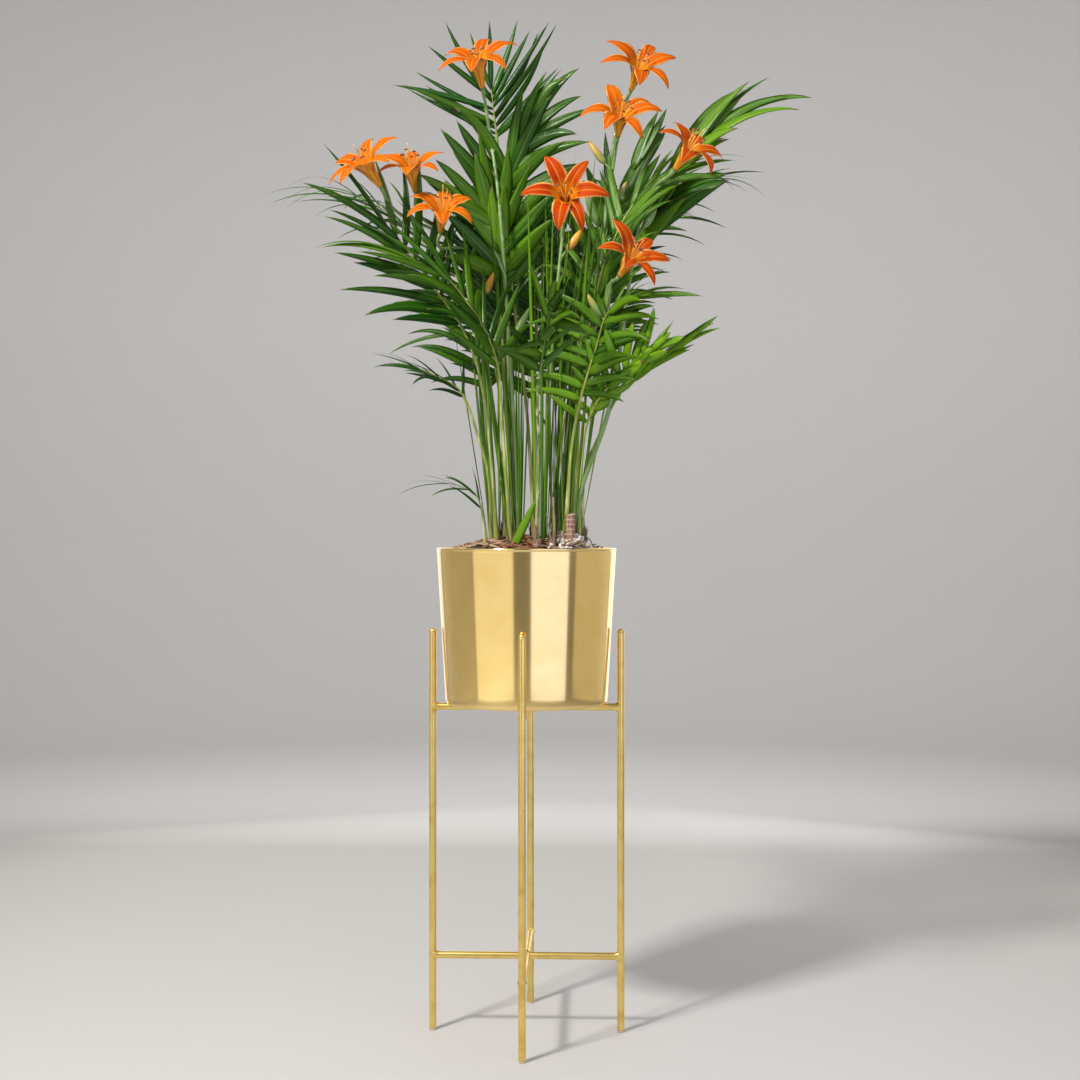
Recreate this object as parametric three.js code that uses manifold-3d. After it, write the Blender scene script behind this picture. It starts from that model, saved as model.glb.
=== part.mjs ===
// An areca palm and orange day lilies, planted together in a tapered golden metal pot that stands
// in a tall four-legged golden rod stand. Millimetres, +Z up, origin on the floor under the pot's axis.
// +X is to the right and -Y is the side that the plant shows to the room.
import * as THREE from 'three';
import { mergeVertices } from 'three/addons/utils/BufferGeometryUtils.js';
import Module from 'manifold-3d';

const wasm = await Module();
wasm.setup();

// Driving dimensions
const gap = 0.3;                 // clear space between pieces that touch
const rodRadius = 4;             // every rod of the stand is 8 mm tube
const rodWall = 1;
const legCircle = 105;           // from the pot's axis to a leg's axis
const legTop = 445;              // where the tube ends, under its domed cap
const footHeight = 2;            // glide under each leg
const lowerCrossHeight = 84;     // axis heights of the two crosses
const potFloorHeight = 366;      // underside of the pot
const potHeight = 173;
const potBottomRadius = 90;
const potTopRadius = 100;
const potWall = 1.2;
const rimBead = 1.6;             // radius of the rolled rim
const soilDepth = 14;            // from the rim down to the soil
const moundHeight = 24;          // crown of the bark mulch above the soil's edge

const upperCrossHeight = potFloorHeight - gap - rodRadius;
const rimHeight = potFloorHeight + potHeight;
const soilTop = rimHeight - soilDepth;
const stemStart = soilTop + gap;  // every stem goes through the mulch down to the soil

// Colours and finishes
const finish = (color, roughness, metalness = 0) =>
  new THREE.MeshStandardMaterial({ color, roughness, metalness });
const rodGold = finish(0xd8b44c, 0.35, 1);
const potGold = finish(0xe3c078, 0.22, 1);
const clearPad = finish(0xd9c9a0, 0.5);
const soilBrown = finish(0x3b2a20, 0.95);
const barkBrown = finish(0x8d5b3c, 0.9);
const caneBrown = finish(0x7a5544, 0.85);
const palmGreen = finish(0x2f7a1e, 0.4);
const scapeGreen = finish(0x6f9a4a, 0.45);
const lilyOrange = finish(0xf07a1a, 0.5);

const plant = new THREE.Group();

function addMesh(name, geometry, material, position = [0, 0, 0]) {
  const mesh = new THREE.Mesh(geometry, material);
  mesh.name = name;
  mesh.position.set(...position);
  plant.add(mesh);
  return mesh;
}

// ---- Solids: lathes, swept tubes and the booleans between them ----

// A profile of [radius, height] points turned about +Z. It starts and ends on the axis, or closes on itself.
function turned(profile, segments) {
  const points = profile.map(([r, z]) => new THREE.Vector2(r, z));
  return new THREE.LatheGeometry(points, segments).rotateX(Math.PI / 2);
}

function toSolid(geometry) {
  const bare = geometry.clone();
  bare.deleteAttribute('normal');
  bare.deleteAttribute('uv');
  const merged = mergeVertices(bare, 1e-3);
  return new wasm.Manifold(new wasm.Mesh({
    numProp: 3,
    vertProperties: merged.attributes.position.array,
    triVerts: new Uint32Array(merged.index.array),
  }));
}

function toGeometry(solid) {
  const mesh = solid.getMesh();
  return new THREE.BufferGeometry()
    .setAttribute('position', new THREE.BufferAttribute(new Float32Array(mesh.vertProperties), 3))
    .setIndex(new THREE.BufferAttribute(new Uint32Array(mesh.triVerts), 1));
}

// A cylinder along +Z from one height to another, centred at x, y.
function post(radius, from, to, x, y, segments) {
  return new THREE.CylinderGeometry(radius, radius, to - from, segments)
    .rotateX(Math.PI / 2)
    .translate(x, y, (from + to) / 2);
}

// A closed skin through rings that all have the same number of points, with its two ends closed.
function skin(rings) {
  const sides = rings[0].length;
  const middle = (ring) =>
    ring.reduce((sum, p) => sum.add(p), new THREE.Vector3()).divideScalar(sides);
  const points = [...rings.flat(), middle(rings[0]), middle(rings.at(-1))];
  const index = [];
  const first = points.length - 2;
  const last = points.length - 1;
  for (let s = 0; s < sides; s++) {
    const next = (s + 1) % sides;
    index.push(first, next, s);
    for (let r = 0; r < rings.length - 1; r++) {
      const a = r * sides;
      const b = a + sides;
      index.push(a + s, a + next, b + s, a + next, b + next, b + s);
    }
    const end = (rings.length - 1) * sides;
    index.push(last, end + s, end + next);
  }
  const positions = points.flatMap((p) => [p.x, p.y, p.z]);
  return new THREE.BufferGeometry()
    .setAttribute('position', new THREE.Float32BufferAttribute(positions, 3))
    .setIndex(index);
}

// ---- The stand ----

const legPlaces = {
  right: [legCircle, 0],
  back: [0, legCircle],
  left: [-legCircle, 0],
  front: [0, -legCircle],
};

function legTube() {
  const inner = rodRadius - rodWall;
  return turned([
    [inner, footHeight + gap], [rodRadius, footHeight + gap],
    [rodRadius, legTop], [inner, legTop], [inner, footHeight + gap],
  ], 16);
}

// Plug with a low dome, pressed into the tube's upper end.
function legCap() {
  const plug = rodRadius - rodWall - gap;
  const dome = 3;
  const seat = legTop + gap;
  const arc = [0, 30, 60, 90].map((deg) => {
    const a = THREE.MathUtils.degToRad(deg);
    return [rodRadius * Math.cos(a), seat + 0.8 + dome * Math.sin(a)];
  });
  arc.at(-1)[0] = 0;
  return turned([[0, legTop - 9], [plug, legTop - 9], [plug, seat], [rodRadius, seat], ...arc], 16);
}

// Glide with a flat sole, pressed into the tube's lower end.
function footGlide() {
  const plug = rodRadius - rodWall - gap;
  return turned([
    [0, 0], [rodRadius - 0.4, 0], [rodRadius, 0.4], [rodRadius, footHeight],
    [plug, footHeight], [plug, footHeight + 10], [0, footHeight + 10],
  ], 16);
}

// A cross rod along +X between two axis distances, with a small weld collar where it meets a leg.
function crossRod(from, to, height) {
  const collar = rodRadius + 0.9;
  const end = to - rodRadius;
  const inner = from < 0
    ? [[0, from], [collar, from], [collar, 1 - end], [rodRadius, 3 - end]]
    : [[0, from], [rodRadius, from]];
  return turned([
    ...inner, [rodRadius, end - 3], [collar, end - 1], [collar, to], [0, to],
  ], 16).rotateY(Math.PI / 2).translate(0, 0, height);
}

// The two crosses: one rod runs right through, and two half rods butt against it and their own legs.
function cross(name, height) {
  const reach = 3 * rodRadius;
  const legCut = post(rodRadius + gap, height - reach, height + reach, legCircle, 0, 16);
  const rightEnd = toSolid(legCut);
  const leftEnd = toSolid(legCut.clone().rotateZ(Math.PI));
  const through = toSolid(crossRod(-legCircle, legCircle, height)).subtract(rightEnd).subtract(leftEnd);
  addMesh(`${name}_rod_across`, toGeometry(through), rodGold);
  const middleCut = toSolid(
    new THREE.CylinderGeometry(rodRadius + gap, rodRadius + gap, 2 * reach, 16).translate(0, 0, height));
  for (const [side, turn] of [['back', 90], ['front', -90]]) {
    const half = toSolid(crossRod(0, legCircle, height))
      .subtract(rightEnd)
      .subtract(middleCut);
    const placed = toGeometry(half).rotateZ(THREE.MathUtils.degToRad(turn));
    addMesh(`${name}_rod_${side}`, placed, rodGold);
  }
}

for (const [side, [x, y]] of Object.entries(legPlaces)) {
  addMesh(`leg_${side}`, legTube(), rodGold, [x, y, 0]);
  addMesh(`leg_cap_${side}`, legCap(), rodGold, [x, y, 0]);
  addMesh(`foot_glide_${side}`, footGlide(), clearPad, [x, y, 0]);
}
cross('lower_cross', lowerCrossHeight);
cross('upper_cross', upperCrossHeight);

// ---- The pot, its soil and its mulch ----

const slope = (potTopRadius - potBottomRadius) / potHeight;
const outerRadiusAt = (z) => potBottomRadius + slope * (z - potFloorHeight);
const innerRadiusAt = (z) => outerRadiusAt(z) - potWall;

function potShell() {
  const cornerRadius = 4;
  const corner = [0, 45, 90].map((deg) => {
    const a = THREE.MathUtils.degToRad(deg);
    return [
      potBottomRadius - cornerRadius + cornerRadius * Math.sin(a),
      potFloorHeight + cornerRadius - cornerRadius * Math.cos(a),
    ];
  });
  const beadMiddle = rimHeight - rimBead;
  const beadAxis = potTopRadius - rimBead + 0.2;
  const bead = [-40, 10, 60, 120, 170, 220].map((deg) => {
    const a = THREE.MathUtils.degToRad(deg);
    return [beadAxis + rimBead * Math.cos(a), beadMiddle + rimBead * Math.sin(a)];
  });
  const innerFloor = potFloorHeight + potWall;
  const innerCorner = innerRadiusAt(innerFloor) - 3;
  return turned([
    [0, potFloorHeight], ...corner, ...bead,
    [innerRadiusAt(beadMiddle - 4), beadMiddle - 4],
    [innerRadiusAt(innerFloor + 3), innerFloor + 3], [innerCorner, innerFloor], [0, innerFloor],
  ], 48);
}

// Height of the mulch over the soil's edge at a distance from the pot's axis: a low dome.
const moundAt = (r) => {
  const share = r / (potTopRadius - potWall - 2);
  return 3 + (moundHeight - 3) * Math.max(0, 1 - share * share);
};

function soilBody() {
  const floor = potFloorHeight + potWall + gap;
  const clear = (z) => innerRadiusAt(z) - 2 * gap;
  return turned([
    [0, floor], [clear(floor) - 4, floor], [clear(floor + 4), floor + 4],
    [clear(soilTop), soilTop], [0, soilTop],
  ], 48);
}

function mulchLayer() {
  const floor = soilTop + 2 * gap;
  const edge = innerRadiusAt(floor) - 2 * gap;
  const top = [1, 0.9, 0.72, 0.5, 0.25, 0].map((share) => [edge * share, floor + moundAt(edge * share)]);
  return turned([[0, floor], [edge, floor], ...top], 48);
}

// ---- The plants ----

// Each palm frond is one stalk and blade. It leaves the soil at [x, y] and its midrib follows a smooth curve
// through its points. The blade begins at a share of that curve, and facing is where its upper side looks.
const fronds = [
  // the upright ones in the middle
  {
    name: 'frond_crown_back', at: [-6, 30], half: 24, blade: 0.765, facing: [0.1, -1, 0.1],
    through: [[-21, 32, 696], [-30, 42, 857], [-34, 46, 983], [-42, 46, 1058], [-52, 42, 1147]],
  },
  {
    name: 'frond_crown_middle', at: [10, 2], half: 20, blade: 0.6, facing: [0.0, -1, 0.4],
    through: [[0, 2, 693], [-16, 0, 827], [-22, -2, 921], [-3, -8, 995], [78, -16, 1046]],
  },
  {
    name: 'frond_crown_left', at: [-12, 12], half: 22, blade: 0.64, facing: [0.2, -1, 0.5],
    through: [[-19, 8, 694], [-23, -2, 815], [-29, -20, 883], [-57, -36, 928], [-107, -40, 971]],
  },
  {
    name: 'frond_crown_right', at: [36, 12], half: 17, blade: 0.42, facing: [-0.1, -1, 0.2],
    through: [[46, 12, 694], [62, 14, 795], [87, 24, 887], [120, 37, 970], [170, 38, 1053]],
  },
  {
    name: 'frond_fan_right', at: [57, -28], half: 22, blade: 0.46, facing: [0.0, -1, 0.15],
    through: [[63, -36, 646], [74, -48, 689], [96, -72, 717], [129, -96, 744], [172, -112, 771]],
  },
  // the long arching ones
  {
    name: 'frond_arch_right', at: [52, 8], half: 26, blade: 0.5, facing: [-0.25, -0.8, 0.8],
    through: [[55, 8, 694], [78, 8, 789], [118, 6, 878], [167, 4, 966], [233, 2, 1026], [321, 0, 1044]],
  },
  {
    name: 'frond_arch_right_near', at: [55, -18], half: 12, blade: 0.46, facing: [-0.1, -0.6, 1],
    through: [[59, -20, 691], [70, -24, 774], [88, -26, 854], [125, -24, 924], [181, -18, 954], [250, -14, 937]],
  },
  {
    name: 'frond_arch_right_far', at: [46, 26], half: 22, blade: 0.48, facing: [0, -0.4, 1],
    through: [[49, 34, 696], [68, 52, 812], [111, 80, 908], [193, 110, 968], [313, 130, 978]],
  },
  {
    name: 'frond_arch_left', at: [-24, -2], half: 24, blade: 0.46, facing: [0, -0.4, 1],
    through: [[-29, 12, 694], [-53, 34, 798], [-110, 58, 880], [-211, 76, 953], [-323, 86, 937]],
  },
  {
    name: 'frond_arch_left_near', at: [-30, -24], half: 22, blade: 0.5, facing: [0.4, -1, 0.6],
    through: [[-43, -30, 690], [-63, -44, 768], [-97, -58, 820], [-135, -66, 872], [-178, -70, 917], [-229, -72, 965]],
  },
  {
    name: 'frond_arch_far_left', at: [-17, -12], half: 18, blade: 0.52, facing: [0.2, -0.8, 0.8],
    through: [[-23, -12, 692], [-29, -10, 803], [-43, -10, 870], [-79, -16, 917], [-135, -24, 949]],
  },
  {
    name: 'frond_arch_back', at: [4, 40], half: 28, blade: 0.44, facing: [0, -0.3, 1],
    through: [[6, 56, 700], [8, 92, 850], [5, 158, 950], [0, 226, 918]],
  },
  {
    name: 'frond_arch_far_right', at: [38, 38], half: 28, blade: 0.44, facing: [0, -0.3, 1],
    through: [[46, 54, 700], [72, 92, 850], [130, 148, 955], [200, 206, 915]],
  },
  // the lower ones round the outside
  {
    name: 'frond_near', at: [13, -52], half: 26, blade: 0.56, facing: [0.25, -0.75, 0.6],
    through: [[16, -62, 645], [15, -76, 692], [21, -106, 739], [31, -156, 780], [34, -222, 805]],
  },
  {
    name: 'frond_low_left_near', at: [-14, -40], half: 22, blade: 0.44, facing: [0.2, -0.7, 0.9],
    through: [[-24, -50, 667], [-29, -66, 739], [-55, -84, 794], [-101, -98, 836], [-217, -112, 857]],
  },
  {
    name: 'frond_low_right_near', at: [42, -46], half: 22, blade: 0.46, facing: [0.1, -0.6, 1],
    through: [[51, -54, 645], [61, -62, 699], [77, -72, 751], [91, -84, 790], [123, -94, 804], [185, -104, 794]],
  },
  {
    name: 'frond_low_right', at: [63, -10], half: 18, blade: 0.56, facing: [-0.2, -0.8, 0.9],
    through: [[64, -14, 614], [81, -18, 663], [105, -26, 711], [135, -36, 738], [178, -46, 763], [220, -52, 779]],
  },
  {
    name: 'frond_low_left', at: [-38, -12], half: 16, blade: 0.58, facing: [0.0, -0.5, 1],
    through: [[-41, -16, 614], [-55, -18, 669], [-72, -20, 711], [-97, -24, 727], [-134, -28, 743], [-178, -30, 758]],
  },
  {
    name: 'frond_low_back_left', at: [-26, 48], half: 26, blade: 0.44, facing: [0, -0.3, 1],
    through: [[-34, 62, 650], [-60, 104, 775], [-108, 160, 842], [-162, 212, 800]],
  },
  {
    name: 'frond_low_back_right', at: [28, 56], half: 26, blade: 0.44, facing: [0, -0.3, 1],
    through: [[36, 76, 650], [58, 122, 775], [92, 174, 838], [122, 218, 798]],
  },
  {
    name: 'frond_back_middle', at: [8, 22], half: 22, blade: 0.38, facing: [0, -1, 0.35],
    through: [[8, 26, 695], [10, 42, 788], [17, 58, 859], [29, 70, 914], [62, 80, 963]],
  },
  {
    name: 'frond_seedling_left', at: [-42, -30], half: 10, blade: 0.3, facing: [0, -0.4, 1],
    through: [[-50, -32, 589], [-70, -34, 606], [-103, -35, 612], [-148, -35, 615]],
  },
];

const stalkRadius = 2.4;
const bladeThickness = 1.6;      // half the blade's thickness at its keel

const frondCurve = ({ at, through }) => new THREE.CatmullRomCurve3(
  [[...at, stemStart], ...through].map((point) => new THREE.Vector3(...point)), false, 'catmullrom', 0.5);

// Half width and half thickness of a frond at a share of its curve: round stalk, then a flat leaf shape.
function frondSection(share, blade, half) {
  if (share <= blade) {
    const r = stalkRadius * (1 - 0.35 * share / blade);
    return [r, r];
  }
  const u = (share - blade) / (1 - blade);
  const stalk = 0.65 * stalkRadius;
  const leaf = half * Math.sin(Math.PI * Math.pow(u, 0.75));
  return [Math.max(stalk * (1 - 0.6 * u), leaf), stalk + (0.35 * bladeThickness - stalk) * u];
}

// The foot is cut level. The extra is added all round, for the hole that the stalk goes into.
function frondSolid(frond, extra = 0) {
  const { blade, half } = frond;
  const curve = frondCurve(frond);
  const facing = new THREE.Vector3(...frond.facing).normalize();
  const stalkShares = [0, 0.2, 0.4, 0.6, 0.8, 1].map((u) => u * blade);
  const bladeShares = [0.12, 0.25, 0.42, 0.6, 0.78, 0.9, 1].map((u) => blade + u * (1 - blade));
  const rings = [...stalkShares, ...bladeShares].map((share) => {
    const centre = curve.getPoint(share);
    const along = share === 0 ? new THREE.Vector3(0, 0, 1) : curve.getTangent(share);
    const side = along.clone().cross(facing).normalize();
    const normal = along.cross(side);
    const [w, h] = frondSection(share, blade, half);
    return [0, 60, 120, 180, 240, 300].map((deg) => {
      const t = THREE.MathUtils.degToRad(deg);
      return centre.clone()
        .addScaledVector(side, (w + extra) * Math.cos(t))
        .addScaledVector(normal, (h + extra) * Math.sin(t));
    });
  });
  return skin(rings);
}

// Lily heads: where the funnel joins its stalk, the way it faces, and its radius across the petal tips.
const lilies = [
  { name: 'lily_top_left', at: [-47, -30, 1043], facing: [-0.12, -0.75, 0.85], radius: 46 },
  { name: 'lily_top_right', at: [116, 10, 1050], facing: [0.35, -0.85, 0.75], radius: 45 },
  { name: 'lily_high_right', at: [101, -30, 988], facing: [0.12, -0.85, 0.65], radius: 44 },
  { name: 'lily_far_right', at: [161, -62, 944], facing: [0.6, -0.6, 0.7], radius: 42 },
  { name: 'lily_left_outer', at: [-153, -72, 926], facing: [-0.5, -0.7, 0.75], radius: 43 },
  { name: 'lily_left_inner', at: [-118, -48, 924], facing: [-0.1, -0.55, 0.85], radius: 40 },
  { name: 'lily_left_low', at: [-90, -64, 878], facing: [0.15, -0.7, 0.9], radius: 38 },
  { name: 'lily_middle', at: [44, -66, 905], facing: [0.05, -1, 0.25], radius: 45 },
  { name: 'lily_right_low', at: [102, -88, 826], facing: [0.45, -0.75, 0.6], radius: 42 },
];

// Each scape is a bare green stalk with one branch for each lily that it carries.
const scapes = [
  { name: 'scape_top_left', at: [-9, -10], fork: [-27, -34, 900], heads: ['lily_top_left'] },
  { name: 'scape_top_right', at: [33, -6], fork: [78, -10, 840], heads: ['lily_top_right', 'lily_high_right'] },
  { name: 'scape_right', at: [48, -34], fork: [95, -57, 704], heads: ['lily_far_right', 'lily_right_low'] },
  { name: 'scape_left', at: [-34, 6], fork: [-58, -10, 850],
    heads: ['lily_left_outer', 'lily_left_inner', 'lily_left_low'] },
  { name: 'scape_middle', at: [20, -26], fork: [30, -44, 760], heads: ['lily_middle'] },
];

const scapeRadius = 2.6;
const funnelLength = 36;
const petalWall = 2.4;

// A six-petalled funnel, opening along +Z from its stalk: one flared sheet and the same sheet petalWall
// higher, joined round the edge. Even points are the petals' middles, odd ones the clefts between them.
function lilySolid(radius) {
  const rows = [
    { tip: [3, 0], cleft: [3, 0] },
    { tip: [12, 20], cleft: [10, 18] },
    { tip: [radius * 0.55, funnelLength], cleft: [14, 26] },
    { tip: [radius * 0.85, funnelLength + 8], cleft: [17, 31] },
    { tip: [radius, funnelLength + 6], cleft: [18, 33] },
  ];
  const sides = 12;
  const points = [0, petalWall].flatMap((lift) => [
    new THREE.Vector3(0, 0, lift),
    ...rows.flatMap(({ tip, cleft }) => Array.from({ length: sides }, (_, i) => {
      const a = (i * Math.PI) / 6;
      const [r, z] = i % 2 ? cleft : tip;
      return new THREE.Vector3(r * Math.cos(a), r * Math.sin(a), z + lift);
    })),
  ]);
  const upper = points.length / 2;
  const edge = upper - sides;
  const sheet = [];
  const index = [];
  for (let s = 0; s < sides; s++) {
    const next = (s + 1) % sides;
    sheet.push([0, 1 + next, 1 + s]);
    for (let a = 1; a < edge; a += sides) {
      const b = a + sides;
      sheet.push([a + s, a + next, b + s], [a + next, b + next, b + s]);
    }
    index.push(edge + s, edge + next, upper + edge + s);
    index.push(edge + next, upper + edge + next, upper + edge + s);
  }
  for (const [a, b, c] of sheet) index.push(a, b, c, upper + a, upper + c, upper + b);
  const positions = points.flatMap((p) => [p.x, p.y, p.z]);
  return new THREE.BufferGeometry()
    .setAttribute('position', new THREE.Float32BufferAttribute(positions, 3))
    .setIndex(index);
}

// A round tube along points, a little thinner at its end.
function stalk(points, radius, sides = 6) {
  const curve = new THREE.CatmullRomCurve3(points);
  const steps = 3 * (points.length - 1);
  const rings = Array.from({ length: steps + 1 }, (_, i) => {
    const centre = curve.getPoint(i / steps);
    const along = i === 0 ? new THREE.Vector3(0, 0, 1) : curve.getTangent(i / steps);
    const across = new THREE.Vector3(0, 1, 0).cross(along).normalize();
    const other = along.clone().cross(across);
    const r = radius * (1 - 0.3 * i / steps);
    return Array.from({ length: sides }, (_, k) => {
      const t = (2 * Math.PI * k) / sides;
      return centre.clone().addScaledVector(across, r * Math.cos(t)).addScaledVector(other, r * Math.sin(t));
    });
  });
  return toSolid(skin(rings));
}

function scapeSolid({ at, fork, heads }, extra = 0) {
  const root = new THREE.Vector3(...at, stemStart);
  const split = new THREE.Vector3(...fork);
  const knee = new THREE.Vector3(at[0] + 0.25 * (fork[0] - at[0]), at[1] + 0.25 * (fork[1] - at[1]),
    stemStart + 0.4 * (fork[2] - stemStart));
  const branches = heads.map((head) => {
    const lily = lilies.find((l) => l.name === head);
    const facing = new THREE.Vector3(...lily.facing).normalize();
    const end = new THREE.Vector3(...lily.at).addScaledVector(facing, -gap);
    const before = end.clone().addScaledVector(facing, -0.25 * end.distanceTo(split));
    return stalk([root, knee, split, before, end], scapeRadius + extra);
  });
  return branches.reduce((all, branch) => all.add(branch));
}

// Stubs of old canes and a dry stalk, standing in the mulch.
const caneStubs = [
  { name: 'cane_stub_right', at: [50, -62], radius: 5.5, height: 52 },
  { name: 'cane_stub_middle', at: [14, -66], radius: 5, height: 24 },
  { name: 'dry_stalk', at: [32, -64], radius: 2.2, height: 56 },
];

// The mulch has a hole for each stem, shaped like the stem with a clear space round it.
const clearance = 2 * gap;
const holes = [];

function plantStem(name, stem, hole, material) {
  addMesh(name, stem, material);
  holes.push(hole);
}

for (const frond of fronds) {
  plantStem(frond.name, frondSolid(frond), toSolid(frondSolid(frond, clearance)), palmGreen);
}
for (const scape of scapes) {
  plantStem(scape.name, toGeometry(scapeSolid(scape)), scapeSolid(scape, clearance), scapeGreen);
}
for (const lily of lilies) {
  const head = addMesh(lily.name, lilySolid(lily.radius), lilyOrange, lily.at);
  head.quaternion.setFromUnitVectors(
    new THREE.Vector3(0, 0, 1), new THREE.Vector3(...lily.facing).normalize());
}
for (const { name, at, radius, height } of caneStubs) {
  const stub = (extra) => post(radius + extra, stemStart, soilTop + height, ...at, 12);
  plantStem(name, stub(0), toSolid(stub(clearance)), caneBrown);
}

const mulch = holes.reduce((solid, hole) => solid.subtract(hole), toSolid(mulchLayer()));

addMesh('pot_shell', potShell(), potGold);
addMesh('soil', soilBody(), soilBrown);
addMesh('bark_mulch', toGeometry(mulch), barkBrown);

export default plant;
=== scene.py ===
# An areca palm and orange day lilies in a tapered golden pot, held up by an open rod stand.
import math

import bpy
import numpy as np
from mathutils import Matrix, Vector


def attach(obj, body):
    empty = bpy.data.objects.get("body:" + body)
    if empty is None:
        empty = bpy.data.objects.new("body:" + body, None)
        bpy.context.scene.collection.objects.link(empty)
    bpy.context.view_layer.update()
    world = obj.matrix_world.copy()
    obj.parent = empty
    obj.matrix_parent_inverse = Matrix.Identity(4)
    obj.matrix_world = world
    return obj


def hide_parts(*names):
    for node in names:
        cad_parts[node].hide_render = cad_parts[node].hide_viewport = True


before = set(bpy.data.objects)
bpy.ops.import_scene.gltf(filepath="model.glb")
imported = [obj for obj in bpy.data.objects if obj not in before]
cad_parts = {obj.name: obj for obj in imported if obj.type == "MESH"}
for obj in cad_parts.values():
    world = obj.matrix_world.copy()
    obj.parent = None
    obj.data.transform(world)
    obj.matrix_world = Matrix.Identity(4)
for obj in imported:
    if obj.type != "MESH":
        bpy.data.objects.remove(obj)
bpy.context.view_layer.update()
mm = 0.001
print("frame loaded")


# camera, lights and the room's colour
cameraSetup = {
    "distance": 1.721,      # from the pot's axis, in metres
    "height": 0.550,
    "azimuth": 2.1,         # degrees round the object, towards +X
    "sideways": 0.015,      # to the right of the axis
    "lens": 51.4,
    "shiftY": -0.002,
}
lightSetup = {
    "panels": {             # azimuth from the camera's side, distance, width, brightness, tint
        "frontLeft": (-42.5, 1.10, 1.10, 0.72, (1.0, 0.98, 0.88)),
        "frontRight": (30, 1.10, 0.98, 0.98, (0.94, 1.0, 1.44)),
        "right": (99, 1.20, 1.65, 0.34, (1.0, 0.90, 0.66)),
        "left": (-103, 1.20, 1.50, 0.20, (1.0, 0.90, 0.62)),
        "backLeft": (-160, 1.40, 0.96, 0.75, (1.0, 0.99, 0.97)),
        "backRight": (152, 1.40, 0.80, 1.0, (1.0, 0.99, 0.97)),
    },
    "panelHeight": (1.84, 1.04),               # height and height of the middle
    "keyLight": (-42, 1.7, 2.3, 0.30, 61),     # azimuth, distance, height, size, power
    "topLight": (1.2, 2.3, 4),                 # size, height, power
    "wallLight": (2.6, 1.2, 1.7, 36),          # size, distance behind the object, height, power
    "roomLight": 0.03,
    "floorColor": (0.60, 0.59, 0.58),
}

turn = math.radians(cameraSetup["azimuth"])
viewDirection = Vector((-math.sin(turn), math.cos(turn), 0))
rightward = Vector((math.cos(turn), math.sin(turn), 0))
cameraData = bpy.data.cameras.new("camera")
cameraData.lens = cameraSetup["lens"]
cameraData.sensor_width = 36
cameraData.shift_y = cameraSetup["shiftY"]
camera = bpy.data.objects.new("camera", cameraData)
camera.location = (viewDirection * -cameraSetup["distance"] + rightward * cameraSetup["sideways"]
                   + Vector((0, 0, cameraSetup["height"])))
camera.rotation_euler = (math.pi / 2, 0, turn)
bpy.context.scene.collection.objects.link(camera)
bpy.context.scene.camera = camera


def addAreaLight(name, place, target, width, height, power, tint=(1, 1, 1)):
    # a flat soft light at place that shines towards target
    data = bpy.data.lights.new(name, "AREA")
    data.shape = "RECTANGLE"
    data.size, data.size_y = width, height
    data.energy = power
    data.color = tint
    light = bpy.data.objects.new(name, data)
    light.location = place
    light.rotation_euler = (Vector(target) - Vector(place)).to_track_quat("-Z", "Y").to_euler()
    bpy.context.scene.collection.objects.link(light)
    return light


def roundAbout(azimuth, distance, height):
    # a place round the object: azimuth 0 is the camera's side, positive goes to the right of it
    a = math.radians(azimuth) - math.pi / 2 + turn
    return (distance * math.cos(a), distance * math.sin(a), height)


height, middle = lightSetup["panelHeight"]
for name, (azimuth, distance, width, brightness, tint) in lightSetup["panels"].items():
    panel = addAreaLight(name, roundAbout(azimuth, distance, middle), (0, 0, middle), width, height,
                         brightness * math.pi * width * height, tint)
    panel.visible_camera = False
azimuth, distance, height, size, power = lightSetup["keyLight"]
addAreaLight("keyLight", roundAbout(azimuth, distance, height), (0, 0, 0.9), size, size, power,
             (1.0, 0.97, 0.92))
size, height, power = lightSetup["topLight"]
addAreaLight("topLight", (0, -0.2, height), (0, 0, 0.8), size, size, power)
size, distance, height, power = lightSetup["wallLight"]
wallLight = addAreaLight("wallLight", (0, distance, height), (0, 4, height * 0.8), size, size, power)
wallLight.visible_camera = False

world = bpy.data.worlds.new("room")
world.use_nodes = True
world.node_tree.nodes["Background"].inputs["Color"].default_value = (0.95, 0.97, 1.0, 1)
world.node_tree.nodes["Background"].inputs["Strength"].default_value = lightSetup["roomLight"]
bpy.context.scene.world = world
bpy.context.scene.view_settings.view_transform = "Standard"
print("camera and lights placed")


class Field:
    # a number that changes over a surface: a node's output socket with the usual arithmetic

    def __init__(self, finish, socket):
        self.finish, self.socket = finish, socket

    def combine(self, operation, *terms):
        made = self.finish.node("Math", {"operation": operation}, dict(enumerate(terms)))
        return Field(self.finish, made.outputs[0])

    def __add__(self, other):
        return self.combine("ADD", self, other)

    def __radd__(self, other):
        return self.combine("ADD", other, self)

    def __rsub__(self, other):
        return self.combine("SUBTRACT", other, self)

    def __mul__(self, other):
        return self.combine("MULTIPLY", self, other)

    def __rmul__(self, other):
        return self.combine("MULTIPLY", other, self)

    def __abs__(self):
        return self.combine("ABSOLUTE", self)

    def sine(self):
        return self.combine("SINE", self)

    def between(self, low, high):
        # 0 below low, 1 above high and a smooth rise between them
        made = self.finish.node(
            "MapRange", {"interpolation_type": "SMOOTHSTEP"},
            {"Value": self, "From Min": low, "From Max": high})
        return Field(self.finish, made.outputs[0])


colorInputs, colorOutput = (6, 7), 2      # a Mix node's colour sockets, by place


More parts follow.
